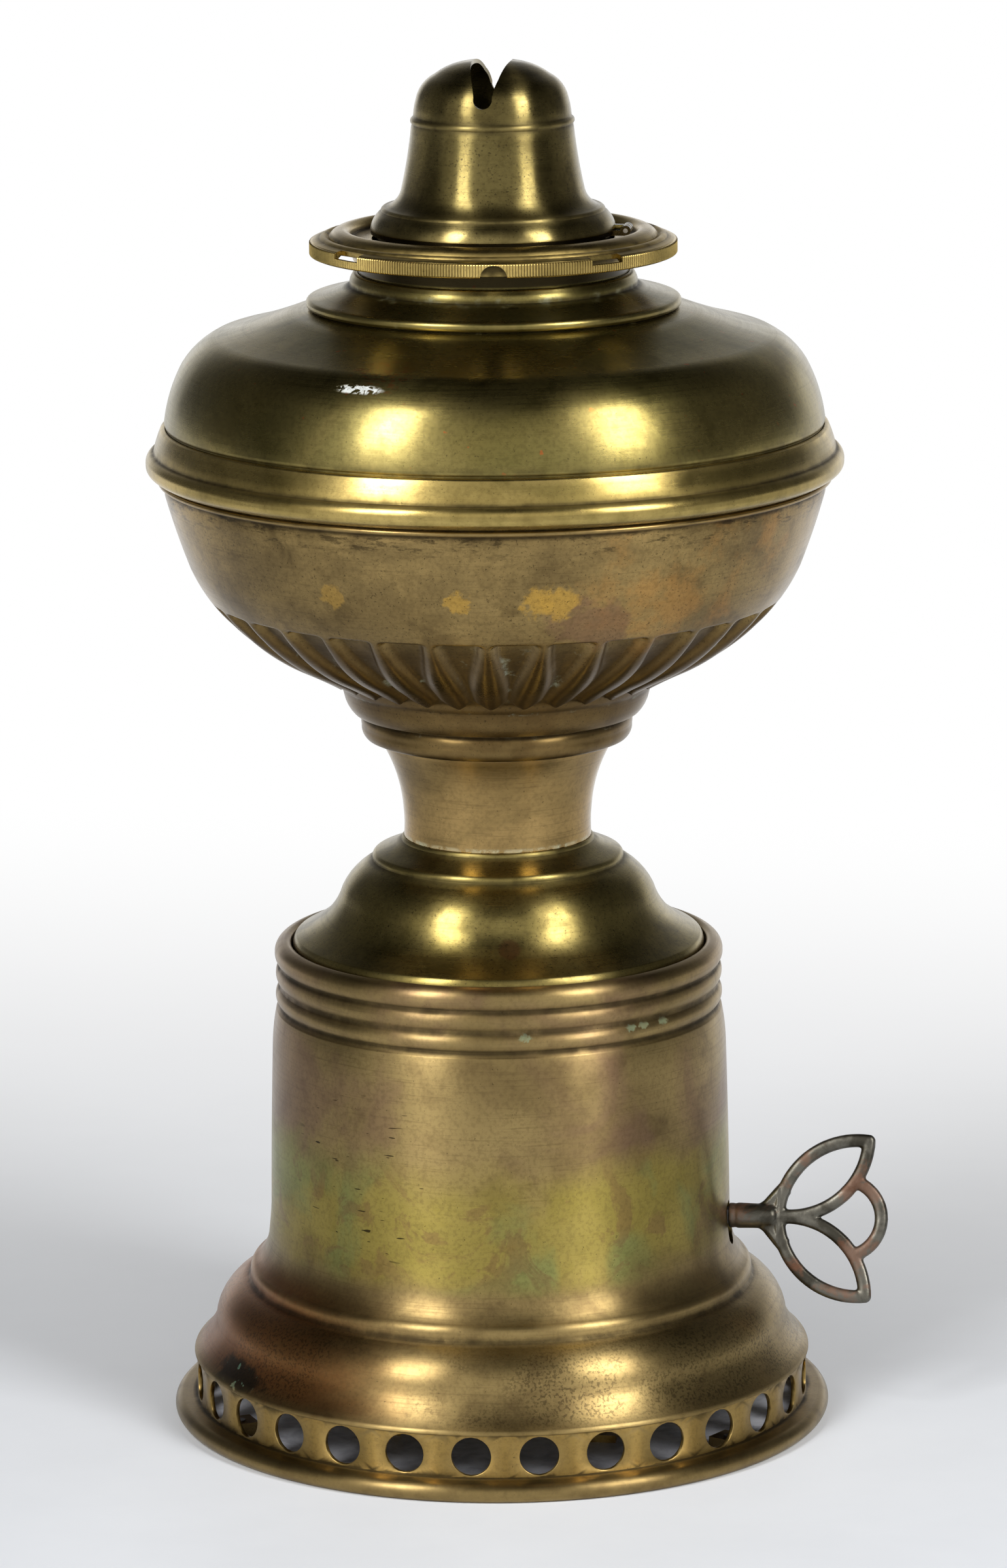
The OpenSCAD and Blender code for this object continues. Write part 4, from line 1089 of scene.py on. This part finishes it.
OLIVE = (colour(58, 48, 26), colour(124, 110, 60), colour(150, 134, 80))
GOLD = (colour(86, 68, 34), colour(160, 138, 78), colour(204, 178, 108))
BROWN = (colour(66, 52, 32), colour(124, 104, 66), colour(154, 130, 82))
PINKISH = (colour(88, 70, 44), colour(134, 112, 70), colour(164, 136, 86))
WALL = (colour(84, 66, 44), colour(132, 112, 72), colour(158, 136, 88))
CAP_TONES = (colour(58, 48, 27), colour(110, 98, 58), colour(150, 134, 84))
# each slot's tones, clouds, pins, spin, roughness, brushed, grime and paint
AGED = {
    "casing_brass": (WALL, 0.45, 0.08, 0.3, 0.33, 0.8, 0.8, paint_casing),
    "font_brass": (OLIVE, 0.35, 0.2, 0.15, 0.25, 0.6, 0.8, paint_font),
    "bowl_brass": (BROWN, 0.5, 0.35, 0.25, 0.27, 0.7, 0.75, paint_bowl),
    "stem_brass": (PINKISH, 0.35, 0.15, 0.35, 0.2, 0.7, 0.8, paint_stem),
    "shoulder_brass": (OLIVE, 0.5, 0.4, 0.2, 0.26, 0.65, 0.8, paint_dome),
    "bright_brass": (GOLD, 0.35, 0.25, 0.2, 0.25, 0.6, 0.85, paint_rings),
    "cap_brass": (CAP_TONES, 0.5, 0.45, 0.2, 0.24, 0.85, 0.8),
}
# each slot's tone, tarnished tone, roughness, rust and metallic
PLAIN = {
    "movement_brass": (colour(204, 172, 98), colour(150, 118, 60), 0.34),
    "tinned_sheet": (colour(226, 227, 234), colour(188, 189, 197), 0.5, 0.0, 0.15),
    "steel": (colour(150, 150, 152), colour(98, 96, 94), 0.36, 0.15),
    "spring_steel": (colour(82, 92, 108), colour(56, 60, 70), 0.32),
    "cast_iron": (colour(102, 99, 90), colour(60, 57, 49), 0.36, 0.4, 0.9),
}
MATERIALS = {name: aged_brass(name, *look) for name, look in AGED.items()}
MATERIALS.update({name: plain_metal(name, *look) for name, look in PLAIN.items()})
MATERIALS["wick_cotton"] = cotton("wick_cotton")


# ---- The whole lamp ----

def finish_frame():
    """Gives every carried-over CAD node its slot's material."""
    slots = {part["node"]: part["material_slot"] for part in frame["record"]["subparts"]}
    for node, cad in frame["nodes"].items():
        for place in cad.material_slots:
            place.material = MATERIALS[slots[node]]


make_casing()
make_font()
make_gallery()
make_cap()
make_wick()
make_key()
finish_frame()
